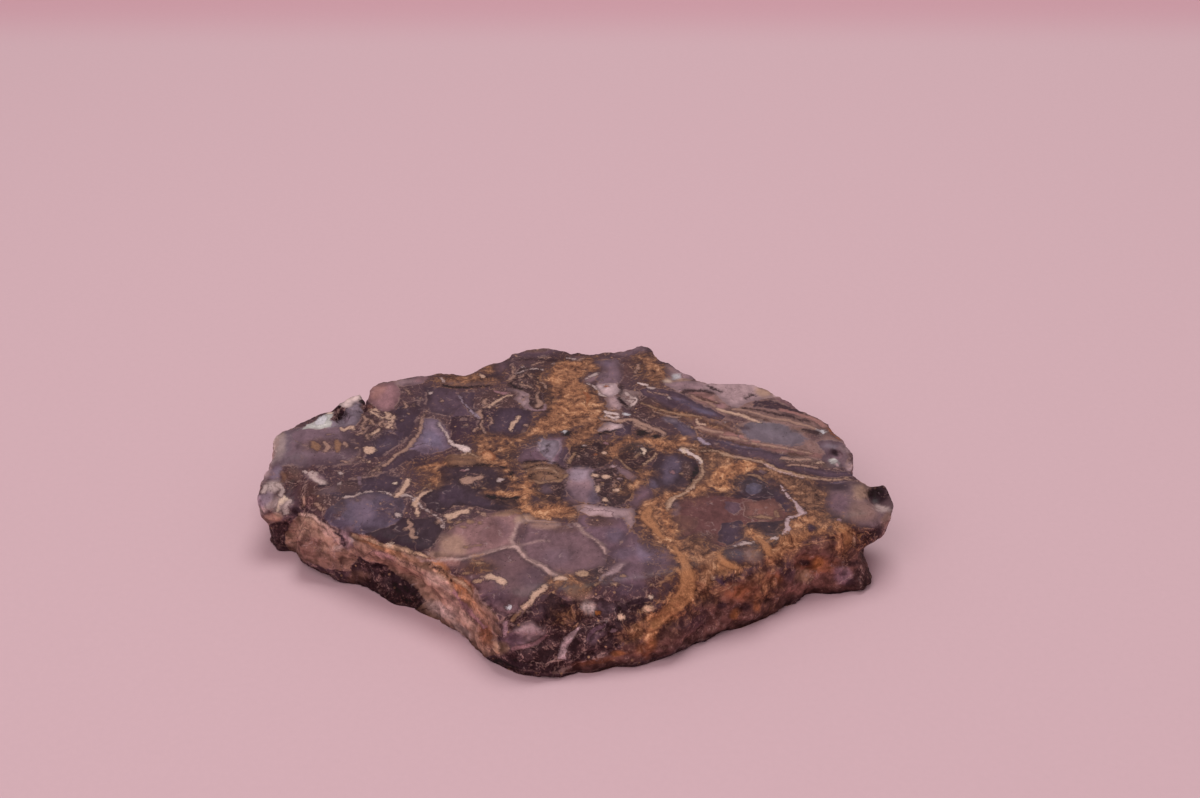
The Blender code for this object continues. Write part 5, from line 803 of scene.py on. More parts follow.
# Dots and blots drawn sharply: colour, x, y, half length, half width, angle.
DOTS = (
    ("pale cream", -48, 18.9, 0.6, 0.4, -20),
    ("frost", -49.4, 16.4, 1, 1.6, -20),
    ("bark", -52.6, 15.9, 0.7, 0.35, 50),
    ("dark brown", -50.6, 17.9, 0.5, 0.3, 40),
    ("coal", -45.4, 18.8, 0.6, 1.1, 5),
    ("coal", -45.5, 17, 0.4, 0.5, 0),
    ("coal", -46.3, 20.9, 0.5, 0.6, 0),
    ("coal", -42, 23.8, 0.35, 0.7, 10),
    ("rust", -40.6, 21.4, 0.35, 0.4, 0),
    ("cream", -39.2, 6.1, 1.25, 1.2, 0),
    ("fawn", -39.6, 9.7, 0.35, 0.3, 0),
    ("fawn", -39.9, 10.6, 0.3, 0.4, 0),
    ("chalk", -29.2, 26.4, 0.45, 0.4, 0),
    ("fawn", -31, 24.4, 0.2, 0.3, 0),
    ("fawn", -31.6, 21.6, 0.2, 0.3, 0),
    ("fawn", -32.6, 18.6, 0.2, 0.2, 0),
    ("fawn", -33.6, 16.4, 0.2, 0.3, 0),
    ("fawn", -46.8, 11.4, 0.3, 0.25, 0),
    ("fawn", -41.8, 6.4, 0.3, 0.3, 0),
    ("fawn", -41, 3.6, 0.25, 0.3, 0),
    ("cream", -38.8, 1.8, 0.35, 0.4, 0),
    ("chalk", -43.5, -1.8, 0.4, 0.45, 0),
    ("chalk", -43.6, -5.2, 0.3, 0.3, 0),
    ("fawn", -37.5, -1, 0.3, 0.25, 0),
    ("fawn", -36.6, -0.4, 0.25, 0.35, 20),
    ("fawn", -36.4, -1.6, 0.3, 0.25, 0),
    ("fawn", -37.8, -2.4, 0.35, 0.25, 30),
    ("pale cream", -33.3, -5.3, 0.35, 0.35, 0),
    ("fawn", -35.2, -11.5, 0.3, 0.3, 0),
    ("chalk", -31.7, -15.3, 0.35, 0.5, 0),
    ("pale cream", -32.6, -23.5, 0.45, 0.4, 0),
    ("fawn", -40, 2.6, 0.25, 0.2, 0),
    ("fawn", -39.7, -10.6, 0.3, 0.2, 0),
    ("pale cream", -52.4, -10.2, 0.35, 0.5, 0),
    ("chalk", -14.1, -4.1, 0.45, 0.5, 0),
    ("tan", -16.8, -6.8, 0.4, 0.25, 0),
    ("tan", -18.5, -6.8, 0.3, 0.2, 0),
    ("pink", -20.9, -0.9, 0.7, 0.35, 10),
    ("chalk", -20.2, -0.4, 0.25, 0.25, 0),
    ("fawn", -23.8, -13.4, 0.35, 0.3, 0),
    ("fawn", -22.2, -12.8, 0.3, 0.3, 0),
    ("fawn", -20.6, -12.6, 0.35, 0.25, 0),
    ("fawn", -18.8, -12.8, 0.45, 0.35, 0),
    ("fawn", -17.6, -14.2, 0.3, 0.3, 0),
    ("fawn", -16.6, -15, 0.45, 0.6, 0),
    ("fawn", -24.6, -17.2, 0.5, 0.4, 30),
    ("tan", -22.6, -17.2, 0.5, 0.4, 0),
    ("tan", -20.8, -17.4, 0.6, 0.4, 0),
    ("tan", -18.8, -17, 0.45, 0.5, 0),
    ("tan", -21.8, -18.8, 0.45, 0.4, 0),
    ("tan", -19.8, -18.8, 0.4, 0.4, 0),
    ("tan", -17.2, -17.4, 0.4, 0.4, 0),
    ("fawn", -9.8, 14.7, 0.4, 0.35, 0),
    ("fawn", -21.6, 14.8, 0.35, 0.25, 0),
    ("fawn", -26.4, 23.6, 0.3, 0.4, 0),
    ("rust", 3.2, 4.4, 0.35, 0.35, 0),
    ("fawn", 0.4, 3.8, 0.25, 0.3, 0),
    ("fawn", 3.4, 6.8, 0.25, 0.3, 0),
    ("fawn", -6.6, -7, 0.25, 0.3, 0),
    ("chalk", -4.8, 37.4, 0.3, 0.2, 0),
    ("chalk", -11.2, 36.2, 0.25, 0.25, 0),
    ("dark plum", -10.6, 24.6, 0.2, 0.2, 0),
    ("cream", 5.2, 5, 0.55, 0.5, 0),
    ("amber", -16.7, 4, 1, 1.3, 10),
    ("chalk", 1.2, 7.3, 0.35, 0.35, 0),
    ("pink", 5.5, 8.2, 0.3, 0.4, 0),
    ("cream", 3.7, -2.3, 0.6, 0.55, 0),
    ("cream", 5.7, -2.9, 1, 0.7, -35),
    ("cream", 4, -6.9, 0.4, 0.9, 12),
    ("cream", 7.4, -7, 0.5, 0.45, 0),
    ("cream", 5.4, -10.2, 0.45, 0.6, 0),
    ("pale lilac", 8.1, -3.5, 0.25, 0.4, 0),
    ("pale lilac", 6.6, 0.4, 0.7, 0.4, 10),
    ("tan", 4.6, -5, 0.3, 0.4, 0),
    ("pink", 17.8, -1.6, 0.35, 0.5, 0),
    ("tan", 19.6, -2, 0.25, 0.4, 0),
    ("coal", -1.9, 11.7, 1.1, 0.7, 20),
    ("coal", 12.4, 12.2, 1.1, 0.9, 10),
    ("coal", 15.1, 10.7, 0.8, 0.5, 10),
    ("coal", 1, 7, 0.5, 0.4, 0),
    ("rust", 5.7, 28.8, 0.5, 0.45, 0),
    ("chalk", 17.8, 24.7, 0.35, 0.35, 0),
    ("chalk", 28.4, 15.2, 0.25, 0.3, 0),
    ("cream", 27.2, 22.4, 0.5, 0.4, 0),
    ("pale lilac", 48.4, 1.2, 0.35, 0.7, 30),
    ("cream", -14.2, -33.6, 1.4, 0.7, -15),
    ("cream", -12.4, -34.6, 0.9, 1.4, 30),
    ("sand", -16.2, -34.4, 0.6, 0.5, 0),
    ("tan", -18.8, -32.4, 0.9, 0.35, 0),
    ("tan", -16.6, -29.3, 0.7, 0.3, 0),
    ("frost", -10.9, -41.7, 0.5, 0.7, 0),
    ("sand", 1.4, -32.4, 1.2, 0.8, -30),
    ("cream", -2.7, -33.8, 0.8, 0.5, 10),
    ("pale cream", 12.9, -39, 0.4, 0.55, 20),
    ("sand", 12.4, -42.3, 0.9, 0.8, 0),
    ("cream", 8, -44.3, 0.5, 0.7, 0),
    ("sand", 7, -35.7, 0.5, 0.4, 0),
    ("tan", 8.4, -33.4, 0.5, 0.5, 0),
    ("tan", 13.2, -35.4, 0.5, 0.4, 0),
    ("orange", 3.9, -43.5, 0.5, 0.5, 0),
    ("lilac", 6.4, -48.2, 0.6, 0.5, 30),
    ("dark brown", 25, -41.2, 0.7, 0.5, 20),
    ("chalk", 35.1, -22.4, 0.9, 0.5, 20),
    ("chalk", 29.6, -23.9, 1.5, 0.4, 15),
    ("grey", 28.8, -23.9, 0.6, 0.4, 0),
    ("dark plum", 41.8, -19.3, 0.6, 1.1, 5),
    ("dark plum", 25.3, -34.8, 0.6, 0.8, 15),
    ("lilac", 47.3, -16.5, 0.4, 0.5, 0),
    ("night", 29, -9.2, 1, 0.5, 20),
)

# Sharp marks with corners: colour, corners.
BLOTS = (
    ("fawn", (-21.4, -4.2), (-20.4, -5.8), (-19.2, -5.4), (-18.8, -4.2), (-17.6, -3.8), (-17.2, -2.8),
     (-18, -2.2), (-18.9, -3.1), (-20, -2.9), (-21, -3.2)),
    ("cream", (-23.6, -15.2), (-22.6, -16.2), (-21.4, -15.6), (-20.6, -15), (-19.2, -14.8), (-19, -13.8),
     (-19.8, -13.3), (-21, -14), (-22.4, -14.6)),
)

BASE_COLOUR = "plum"
NO_MARK = (190, 150, 125)       # never seen, because it is kept only where every mark is far away
FAR = 6.0                       # markings further than this, in mm, are all the same to the shader
CLOUD_SOFT = 0.9                # width of a cloud's edge, in its own narrower half widths

# The crust of the walls that the drawing doesn't show, in patches of about the size given, in mm.
CRUST_COLOURS = ("bark", "red brown", "rind", "dark brown")
CRUST_SIZE, CRUST_STRETCH = 6, (0.6, 0.6, 1.6)
CRUST_CONTRAST, CRUST_SHARE, CRUST_COVER = 2.4, 0.35, 0.85
CRUST_SEED = 11

# How edges of the drawing wander: size of the bends and how far they go, in mm, and a seed.
WANDERS = ((3.2, 0.55, 1.5), (1.1, 0.3, 4.5))
UNDERSIDE_WANDER = (9, 3.0, 7.0)

# How much further away, in mm, the drawing's marks and gold are where the camera doesn't see the stone.
MARKS_FADE, GOLD_FADE = 2, 3


def linear(red, green, blue):
    """A colour as seen, 0 to 255, in the renderer's linear values."""
    seen = np.array([red, green, blue]) / 255
    return ((seen + 0.055) / 1.055) ** 2.4


def shown(colour):
    """A colour as seen, as a value for a material."""
    return tuple(linear(*colour))


def paint(name):
    """A palette entry as linear red, green and blue, and its mossiness."""
    *seen, moss = PALETTE[name]
    return np.append(linear(*seen), moss)


def smooth_step(value):
    value = np.clip(value, 0, 1)
    return value * value * (3 - 2 * value)


def short_of(value, limit, span):
    """How far a value stays below a limit: 0 at the limit, 1 from the span below it."""
    return smooth_step((limit - value) / span)


def polygon_distance(places, corners):
    """Signed distance to a polygon in mm, negative inside."""
    corners = np.array(corners, float)
    after = np.roll(corners, -1, axis=0)
    nearest = np.full(len(places), np.inf)
    crossings = np.zeros(len(places), int)
    for a, b in zip(corners, after):
        side = b - a
        t = np.clip((places - a) @ side / (side @ side), 0, 1)
        nearest = np.minimum(nearest, np.hypot(*(places - a - t[:, None] * side).T))
        spans = (a[1] > places[:, 1]) != (b[1] > places[:, 1])
        if a[1] != b[1]:
            crossings += spans & (places[:, 0] < a[0] + (places[:, 1] - a[1]) / (b[1] - a[1]) * side[0])
    return np.where(crossings % 2 == 1, -nearest, nearest)


def oval_distance(places, x, y, length, width, angle):
    """Roughly signed distance to an oval in mm, negative inside."""
    turn = math.radians(angle)
    dx, dy = places[:, 0] - x, places[:, 1] - y
    u = (dx * math.cos(turn) + dy * math.sin(turn)) / length
    v = (-dx * math.sin(turn) + dy * math.cos(turn)) / width
    return (np.hypot(u, v) - 1) * min(length, width)


def curve_through(stops, steps=4):
    """A smooth run of stops: x, y and half width, with more stops between the given ones."""
    stops = np.array(stops, float)
    padded = np.vstack([2 * stops[0] - stops[1], stops, 2 * stops[-1] - stops[-2]])
    run = []
    for p0, p1, p2, p3 in zip(padded, padded[1:], padded[2:], padded[3:]):
        for t in np.linspace(0, 1, steps, endpoint=False):
            run.append(0.5 * (2 * p1 + (p2 - p0) * t + (2 * p0 - 5 * p1 + 4 * p2 - p3) * t ** 2
                              + (3 * p1 - p0 - 3 * p2 + p3) * t ** 3))
    run.append(stops[-1])
    return np.array(run)


def stroke_distance(places, stops):
    """Signed distance to a stroke whose half width changes along it, negative inside."""
    run = curve_through(stops)
    nearest = np.full(len(places), np.inf)
    for a, b in zip(run, run[1:]):
        side = b[:2] - a[:2]
        t = np.clip((places - a[:2]) @ side / max(side @ side, 1e-9), 0, 1)
        away = np.hypot(*(places - a[:2] - t[:, None] * side).T)
        nearest = np.minimum(nearest, away - (a[2] + (b[2] - a[2]) * t))
    return nearest


def noise_field(points, size, seed, layers=3):
    """Layered noise of about -1 to 1 at each point, in mm."""
    offset = Vector((seed, -seed, 2 * seed))
    return np.array([noise.fractal(Vector(p) / size + offset, 1.0, 2.0, layers) for p in points])


def warp(points, size, amount, seed):
    """Sideways shifts for each point that make drawn edges wander."""
    offset = Vector((seed, 3 * seed, -seed))
    return amount * np.array([noise.noise_vector(Vector(p) / size + offset)[:2] for p in points])


# The stone's mesh: the CAD shape with finer faces.

CREASE_ANGLE, CREASE = math.radians(48), 0.55
FINER_LEVELS = 2


def finer_copy(source, name):
    """A welded, subdivided copy of a CAD node, as a new object."""
    shape = bmesh.new()
    shape.from_mesh(source.data)
    bmesh.ops.remove_doubles(shape, verts=shape.verts, dist=1e-6)
    creases = shape.edges.layers.float.new("crease_edge")
    for edge in shape.edges:
        if len(edge.link_faces) == 2 and edge.calc_face_angle(0) > CREASE_ANGLE:
            edge[creases] = CREASE
    mesh = bpy.data.meshes.new(name)
    shape.to_mesh(mesh)
    shape.free()
    piece = bpy.data.objects.new(name, mesh)
    bpy.context.scene.collection.objects.link(piece)
    finer = piece.modifiers.new("finer", "SUBSURF")
    finer.levels = finer.render_levels = FINER_LEVELS
    view = bpy.context.evaluated_depsgraph_get()
    piece.data = bpy.data.meshes.new_from_object(piece.evaluated_get(view))
    piece.modifiers.clear()
    bpy.data.meshes.remove(mesh)
    piece.data.name = name
    piece.data.materials.clear()
    return piece


slab_source = bpy.data.objects["agate_slab"]
slab = finer_copy(slab_source, "moss_agate")
mesh = slab.data
count = len(mesh.vertices)

flat = np.empty(count * 3)
mesh.vertices.foreach_get("co", flat)
places = flat.reshape(-1, 3) / MM
mesh.vertex_normals.foreach_get("vector", flat)
normals = flat.reshape(-1, 3).copy()

points = places - DRAWING_SHIFT
sight = CAMERA_AT - points
sight /= np.linalg.norm(sight, axis=1)[:, None]
facing = (sight * normals).sum(axis=1)
level = np.abs(normals[:, 2])           # 1 where the surface is level, 0 where it is upright

# How far each point belongs to the underside, the walls, the rim and what the camera doesn't see, 0 to 1.
FOOT, UNDERSIDE_TOP = 0.05, 0.3         # mm above the floor
under = short_of(normals[:, 2], limit=-0.75, span=0.2) * (places[:, 2] < UNDERSIDE_TOP)
wall = short_of(level, limit=0.86, span=0.22)
rim = short_of(level, limit=0.99, span=0.07)
hidden = np.maximum(short_of(facing, limit=0.12, span=0.24), under)

# Where each point falls on the map.
reach = (CAMERA_AT[2] - MAP_HEIGHT) / (CAMERA_AT[2] - points[:, 2])
on_map = (CAMERA_AT + (points - CAMERA_AT) * reach[:, None])[:, :2]
on_map = np.where(under[:, None] > 0.5, points[:, :2] + warp(points, *UNDERSIDE_WANDER), on_map)
on_map = on_map + sum(warp(points, *wander) for wander in WANDERS)

# Ground colours, painted one over the other. Near a cell's edge both its colour and the one beside it are
# kept, with the distance to the edge, so that the material can draw the edge finer than the mesh.
outer = np.tile(paint(BASE_COLOUR), (count, 1))
inner = outer.copy()
cell_away = np.full(count, FAR)
cell_soft = np.ones(count)
for name, softness, *corners in CELLS:
    away = polygon_distance(on_map, corners)
    inside = away < 0
    current = np.where(cell_away[:, None] < 0, inner, outer)
    taken = inside | (away < np.abs(cell_away))
    outer[taken] = current[taken]
    inner[taken] = paint(name)
    cell_away[taken] = away[taken]
    cell_soft[taken] = softness


def lay_over(cover, name):
    for layer in (inner, outer):
        layer[:] = layer + (paint(name) - layer) * cover[:, None]


for name, x, y, length, width, angle, strength in CLOUDS:
    away = oval_distance(on_map, x, y, length, width, angle) / min(length, width)
    lay_over(strength * smooth_step(0.5 - away / CLOUD_SOFT), name)

for name, strength, *stops in SEAMS:
    away = stroke_distance(on_map, stops)
    lay_over(strength * smooth_step(1 - away / SEAM_SOFT), name)

# The crust, on the walls that the camera doesn't see.
crust = np.tile(paint(CRUST_COLOURS[0]), (count, 1))
for seed, name in enumerate(CRUST_COLOURS[1:], start=CRUST_SEED):
    patch = noise_field(places * CRUST_STRETCH, CRUST_SIZE, seed) * CRUST_CONTRAST + CRUST_SHARE
    crust = crust + (paint(name) - crust) * smooth_step(patch)[:, None]
share = (hidden * wall * (1 - under))[:, None]
inner = inner + (crust - inner) * CRUST_COVER * share
outer = outer + (crust - outer) * CRUST_COVER * share


def nearest_shape(shapes, plain):
    """The distance from each point to the nearest shape's edge, in mm, and that shape's value.

    A shape is a value, the function that measures its distance, what that function is given, and the
    places that its box holds. Where no shape is near, the value is the plain one.
    """
    nearest, values = np.full(count, FAR), np.tile(plain, (count, 1))
    for value, distance, given, held in shapes:
        low, high = np.min(held, axis=0) - FAR, np.max(held, axis=0) + FAR
        chosen = np.flatnonzero(np.all((on_map > low) & (on_map < high), axis=1))
        away = distance(on_map[chosen], *given)
        closer = away < nearest[chosen]
        nearest[chosen[closer]] = away[closer]
        values[chosen[closer]] = value
    return nearest, values


def stroke_shape(value, stops):
    return value, stroke_distance, (stops,), [stop[:2] for stop in stops]


# Sharp marks and gold moss: the nearest one's colour or tone, and the distance to its edge.
marks = [stroke_shape(paint(name)[:3], stops) for name, *stops in STROKES]
marks += [(paint(name)[:3], oval_distance, oval, [oval[:2]]) for name, *oval in DOTS]
marks += [(paint(name)[:3], polygon_distance, (corners,), corners) for name, *corners in BLOTS]
mark_away, mark_colour = nearest_shape(marks, linear(*NO_MARK))
mark_away = mark_away + MARKS_FADE * hidden
strands = [stroke_shape(tone, stops) for tone, *stops in GOLD_STROKES]
gold_away, gold_tone = nearest_shape(strands, 0.0)
gold_away = gold_away + GOLD_FADE * hidden

# The broken skin: lumps and grains on the walls, and a faint relief of the moss on the sawn face.
WALL_LUMPS, WALL_GRAINS, MOSS_RELIEF = 0.26, 0.13, 0.035       # heights, mm
LUMP_SIZE, SKIN_GRAIN_SIZE, BED_LINE_SIZE = 1.5, 0.75, 1.4      # mm
BED_LINE_STRETCH = (0.35, 0.35, 1.0)
lumps = noise_field(places, LUMP_SIZE, seed=21, layers=2)
grains = noise_field(places, SKIN_GRAIN_SIZE, seed=31, layers=2)
bed_lines = noise_field(places * BED_LINE_STRETCH, BED_LINE_SIZE, seed=41, layers=2)
granular = np.clip(np.where(cell_away < 0, inner[:, 3], outer[:, 3]) + (gold_away < 0), 0, 1)
lift = wall * (WALL_LUMPS * (lumps + 0.5 * bed_lines) + WALL_GRAINS * grains)
lift += (1 - wall) * (1 - under) * MOSS_RELIEF * granular * grains
lift[places[:, 2] < FOOT] = 0
places = places + normals * lift[:, None]
places = np.clip(places, np.array(cad_low) / MM, np.array(cad_high) / MM)
mesh.vertices.foreach_set("co", (places * MM).ravel())
mesh.update()


def give(name, kind, values):
    """Store a value for each vertex, for the material to read."""
    layer = mesh.attributes.new(name, kind, "POINT")
    if kind == "FLOAT":
        layer.data.foreach_set("value", np.ascontiguousarray(values, dtype=np.float32))
    else:
        with_alpha = np.column_stack([values, np.ones(len(values))])
        layer.data.foreach_set("color", np.ascontiguousarray(with_alpha, dtype=np.float32).ravel())


give("inner", "FLOAT_COLOR", inner[:, :3])
give("outer", "FLOAT_COLOR", outer[:, :3])
give("inner_moss", "FLOAT", inner[:, 3])
give("outer_moss", "FLOAT", outer[:, 3])
give("cell_away", "FLOAT", cell_away / np.maximum(cell_soft, 0.2))
give("mark_colour", "FLOAT_COLOR", mark_colour)
give("mark_away", "FLOAT", mark_away)
give("rim", "FLOAT", rim)
give("gold_away", "FLOAT", gold_away)
give("gold_tone", "FLOAT", gold_tone[:, 0])
give("wall", "FLOAT", wall)
# The lumps' heights on the walls, for their painted light and shade.
give("lift", "FLOAT", lumps * wall)
for polygon in mesh.polygons:
    polygon.use_smooth = polygon.center.z > FOOT * MM


# Materials.

class Recipe:
    """Small helpers that add nodes to a material and hand back their output sockets."""

    def __init__(self, name):
        self.material = bpy.data.materials.new(name)
        self.material.use_nodes = True
        self.tree = self.material.node_tree
        self.surface = self.tree.nodes["Principled BSDF"]
        coordinates = self.tree.nodes.new("ShaderNodeTexCoord")
        self.at = self.vector("SCALE", coordinates.outputs["Object"], scale=1 / MM)

    def put(self, socket, value):
        if isinstance(value, bpy.types.NodeSocket):
            self.tree.links.new(value, socket)
        elif value is not None:
            if socket.type == "RGBA" and len(value) == 3:
                value = (*value, 1)
            socket.default_value = value

    def vector(self, operation, a, b=None, scale=None):
        made = self.tree.nodes.new("ShaderNodeVectorMath")
        made.operation = operation
        self.put(made.inputs[0], a)
        self.put(made.inputs[1], b)
        self.put(made.inputs[3], scale)
        return made.outputs["Vector"]

    def math(self, operation, a, b=None):
        made = self.tree.nodes.new("ShaderNodeMath")
        made.operation = operation
        self.put(made.inputs[0], a)
        self.put(made.inputs[1], b)
        return made.outputs[0]

    def times(self, a, b):
        return self.math("MULTIPLY", a, b)

    def total(self, *values):
        result = values[0]
        for value in values[1:]:
            result = self.math("ADD", result, value)
        return result

    def position(self, axis):
        """One coordinate, in mm."""
        made = self.tree.nodes.new("ShaderNodeSeparateXYZ")
        self.put(made.inputs[0], self.at)
        return made.outputs[axis]

    def attribute(self, name, output="Fac"):
        made = self.tree.nodes.new("ShaderNodeAttribute")
        made.attribute_name = name
        return made.outputs[output]

    def noise(self, size, detail=3.0, rough=0.55, at=None, shift=0.0):
        made = self.tree.nodes.new("ShaderNodeTexNoise")
        made.inputs["Scale"].default_value = 1 / size
        made.inputs["Detail"].default_value = detail
        made.inputs["Roughness"].default_value = rough
        self.put(made.inputs["Vector"], self.vector("ADD", at or self.at, (shift, -shift, 2 * shift)))
        return made.outputs["Fac"]

    def specks(self, size, radius, keep, shift=0.0):
        """Round specks: 1 inside a speck, with only a share of the cells holding one."""
        made = self.tree.nodes.new("ShaderNodeTexVoronoi")
        made.inputs["Scale"].default_value = 1 / size
        self.put(made.inputs["Vector"], self.vector("ADD", self.at, (shift, shift, -shift)))
        inside = self.range(made.outputs["Distance"], radius, radius * 0.6)
        parts = self.tree.nodes.new("ShaderNodeSeparateColor")
        self.put(parts.inputs[0], made.outputs["Color"])
        chosen = self.math("GREATER_THAN", parts.outputs[0], 1 - keep)
        return self.times(inside, chosen)

    def range(self, value, low, high, to_low=0.0, to_high=1.0):
        made = self.tree.nodes.new("ShaderNodeMapRange")
        made.interpolation_type = "SMOOTHSTEP"
        for socket, given in zip(made.inputs, (value, low, high, to_low, to_high)):
            self.put(socket, given)
        return made.outputs[0]

    def mix(self, share, a, b, blend="MIX"):
        made = self.tree.nodes.new("ShaderNodeMix")
        made.data_type = "RGBA"
        made.blend_type = blend
        self.put(made.inputs[0], share)
        self.put(made.inputs[6], a)
        self.put(made.inputs[7], b)
        return made.outputs[2]

    def ramp(self, value, stops):
        """Colours, 0 to 255, along a value."""
        made = self.tree.nodes.new("ShaderNodeValToRGB")
        elements = made.color_ramp.elements
        while len(elements) < len(stops):
            elements.new(1.0)
        for element, (position, colour) in zip(elements, stops):
            element.position = position
            element.color = (*linear(*colour), 1)
        self.put(made.inputs[0], value)
        return made.outputs[0]

    def bump(self, height, depth, strength=1.0, before=None):
        made = self.tree.nodes.new("ShaderNodeBump")
        made.inputs["Distance"].default_value = depth * MM
        self.put(made.inputs["Strength"], strength)
        self.put(made.inputs["Height"], height)
        self.put(made.inputs["Normal"], before)
        return made.outputs["Normal"]

    def finish(self, colour, rough, normal):
        self.put(self.surface.inputs["Base Color"], colour)
        self.put(self.surface.inputs["Roughness"], rough)
        self.put(self.surface.inputs["Normal"], normal)
        return self.material


GLOSS_VEIL = (0.0105, 0.0145, 0.0135)      # what the sheen adds to every colour, taken off beforehand
REFRACTION, GLOSS = 1.54, 0.22
PLAIN_ROUGH, MOSS_ROUGH, RIM_ROUGH = 0.44, 0.16, 0.3

# The stone's own patterns: sizes in mm, stretches along the axes, and the beds' turn in degrees.
CLOUD_SIZE, BLOTCH_SIZE, GRAIN_SIZE, FINE_SIZE = 4.2, 1.7, 0.5, 0.2
STREAK_SIZE, STREAK_STRETCH = 1.1, (1.0, 0.24, 1.0)
FIBRE_SIZE, FIBRE_STRETCH = 0.6, (1.5, 0.5, 1.0)
BED_SIZE, BED_STRETCH, BED_TURN = 1.3, (0.25, 1.0, 1.3), 37
FLOW_SIZE, FLOW_PUSH = 3.4, 3.2
FRACTURE_SIZE, VEIN_SIZE, THREAD_SIZE = 7, 5, 2.6
FLECK_SIZE, DUST_SIZE, PIT_SIZE = 1.5, 0.9, 0.9
UNDERSIDE_CELL_SIZE, UNDERSIDE_SEAM_SIZE = 9, 11


class Agate(Recipe):
    """The stone's material, painted in layers, each over the ones before it."""

    def __init__(self):
        super().__init__("moss_agate")
        self.height = self.position("Z")
        self.below = self.range(self.height, 0.12, 0.03)
        self.above = self.math("SUBTRACT", 1.0, self.below)
        self.wall = self.drawn("wall")
        self.flowing = self.flow()
        streak_at = self.vector("MULTIPLY", self.flowing, STREAK_STRETCH)
        fibre_at = self.vector("MULTIPLY", self.flowing, FIBRE_STRETCH)
        beds_at = self.vector("MULTIPLY", self.turned(BED_TURN), BED_STRETCH)
        self.patterns = {
            "cloud": self.noise(CLOUD_SIZE, 4, 0.6),
            "blotch": self.noise(BLOTCH_SIZE, 5, 0.62, at=self.flowing, shift=13),
            "grain": self.noise(GRAIN_SIZE, 3, 0.62, at=self.flowing, shift=29),
            "fine": self.noise(FINE_SIZE, 2, 0.6, shift=47),
            "streak": self.noise(STREAK_SIZE, 3, 0.6, at=streak_at, shift=59),
            "fibre": self.noise(FIBRE_SIZE, 3, 0.6, at=fibre_at, shift=53),
            "beds": self.noise(BED_SIZE, 4, 0.6, at=beds_at, shift=5),
        }

    def flow(self):
        """Places pushed about by a broad noise, so that a pattern at them flows."""
        push = self.tree.nodes.new("ShaderNodeTexNoise")
        push.inputs["Scale"].default_value = 1 / FLOW_SIZE
        push.inputs["Detail"].default_value = 2
        self.put(push.inputs["Vector"], self.at)
        pushed = self.vector("SUBTRACT", push.outputs["Color"], (0.5, 0.5, 0.5))
        return self.vector("ADD", self.at, self.vector("SCALE", pushed, scale=FLOW_PUSH))

    def turned(self, angle):
        """Places turned about the vertical, by an angle in degrees."""
        turn = self.tree.nodes.new("ShaderNodeVectorRotate")
        turn.rotation_type = "Z_AXIS"
        turn.inputs["Angle"].default_value = math.radians(angle)
        self.put(turn.inputs["Vector"], self.at)
        return turn.outputs["Vector"]

    def drawn(self, name, beneath=0.0):
        """A value of the drawing, and another on the underside, which the drawing doesn't cover."""
        return self.total(self.times(self.attribute(name), self.above), self.times(self.below, beneath))

    def mottled(self, value, **amounts):
        """A value with the named patterns added, each centred on 0, by the amounts given."""
        for name, amount in amounts.items():
            centred = self.math("SUBTRACT", self.patterns[name], 0.5)
            value = self.total(value, self.times(centred, amount))
        return value

    def vein(self, size, width, shift):
        """A thin wandering line: 1 on the line."""
        line = self.noise(size, 3, 0.5, at=self.flowing, shift=shift)
        return self.range(self.math("ABSOLUTE", self.math("SUBTRACT", line, 0.5)), width, width * 0.35)

    def lay(self, colour, share, amount=1.0):
        """Lay a colour over the stone so far, as far as the share and the amount let it cover."""
        self.colour = self.mix(self.times(share, amount), self.colour, colour)

    def paint_clear_stone(self):
        """Cells and clouds of the drawing, streaks, and thin pale fractures."""
        self.edge = self.mottled(self.drawn("cell_away", 9.0), grain=0.9, blotch=1.3)
        self.side = self.range(self.edge, 0.25, -0.25)
        self.colour = self.mix(self.side, self.attribute("outer", "Color"), self.attribute("inner", "Color"))
        cells_beneath = self.noise(UNDERSIDE_CELL_SIZE, 3, 0.5, at=self.flowing, shift=113)
        self.lay(self.ramp(cells_beneath, UNDERSIDE), self.below)
        brightness = self.mottled(0.985, cloud=0.9, blotch=0.8, grain=0.45, fine=0.35, streak=0.8)
        self.colour = self.mix(1.0, self.colour, brightness, "MULTIPLY")
        fracture = self.vein(FRACTURE_SIZE, 0.012, 71)
        broken = self.range(self.patterns["blotch"], 0.5, 0.62)
        self.lay(shown(FRACTURE), self.times(fracture, broken), 0.28)

    def paint_moss(self):
        """Brown grains, thicker where the drawing is mossy and warmer near the gold."""
        beside = self.math("SUBTRACT", 1.0, self.side)
        self.moss = self.total(self.times(self.side, self.drawn("inner_moss")),
                               self.times(beside, self.drawn("outer_moss", 0.3)))
        self.cover = self.range(self.mottled(self.moss, blotch=2.0, grain=1.3, cloud=0.8), 0.34, 0.74)
        seam = self.noise(UNDERSIDE_SEAM_SIZE, 2, 0.5, at=self.flowing, shift=131)
        gold_beneath = self.times(self.math("SUBTRACT", seam, 0.57), 40.0)
        self.depth = self.math("SUBTRACT", self.times(self.below, gold_beneath), self.drawn("gold_away"))
        self.warm = self.range(self.depth, -5.0, -0.5)
        shade = self.mottled(0.5, grain=1.3, fine=0.9, blotch=0.9)
        grains = self.mix(self.warm, self.ramp(shade, COOL_MOSS), self.ramp(shade, WARM_MOSS))
        self.lay(self.mix(0.25, grains, self.colour), self.cover, 0.85)

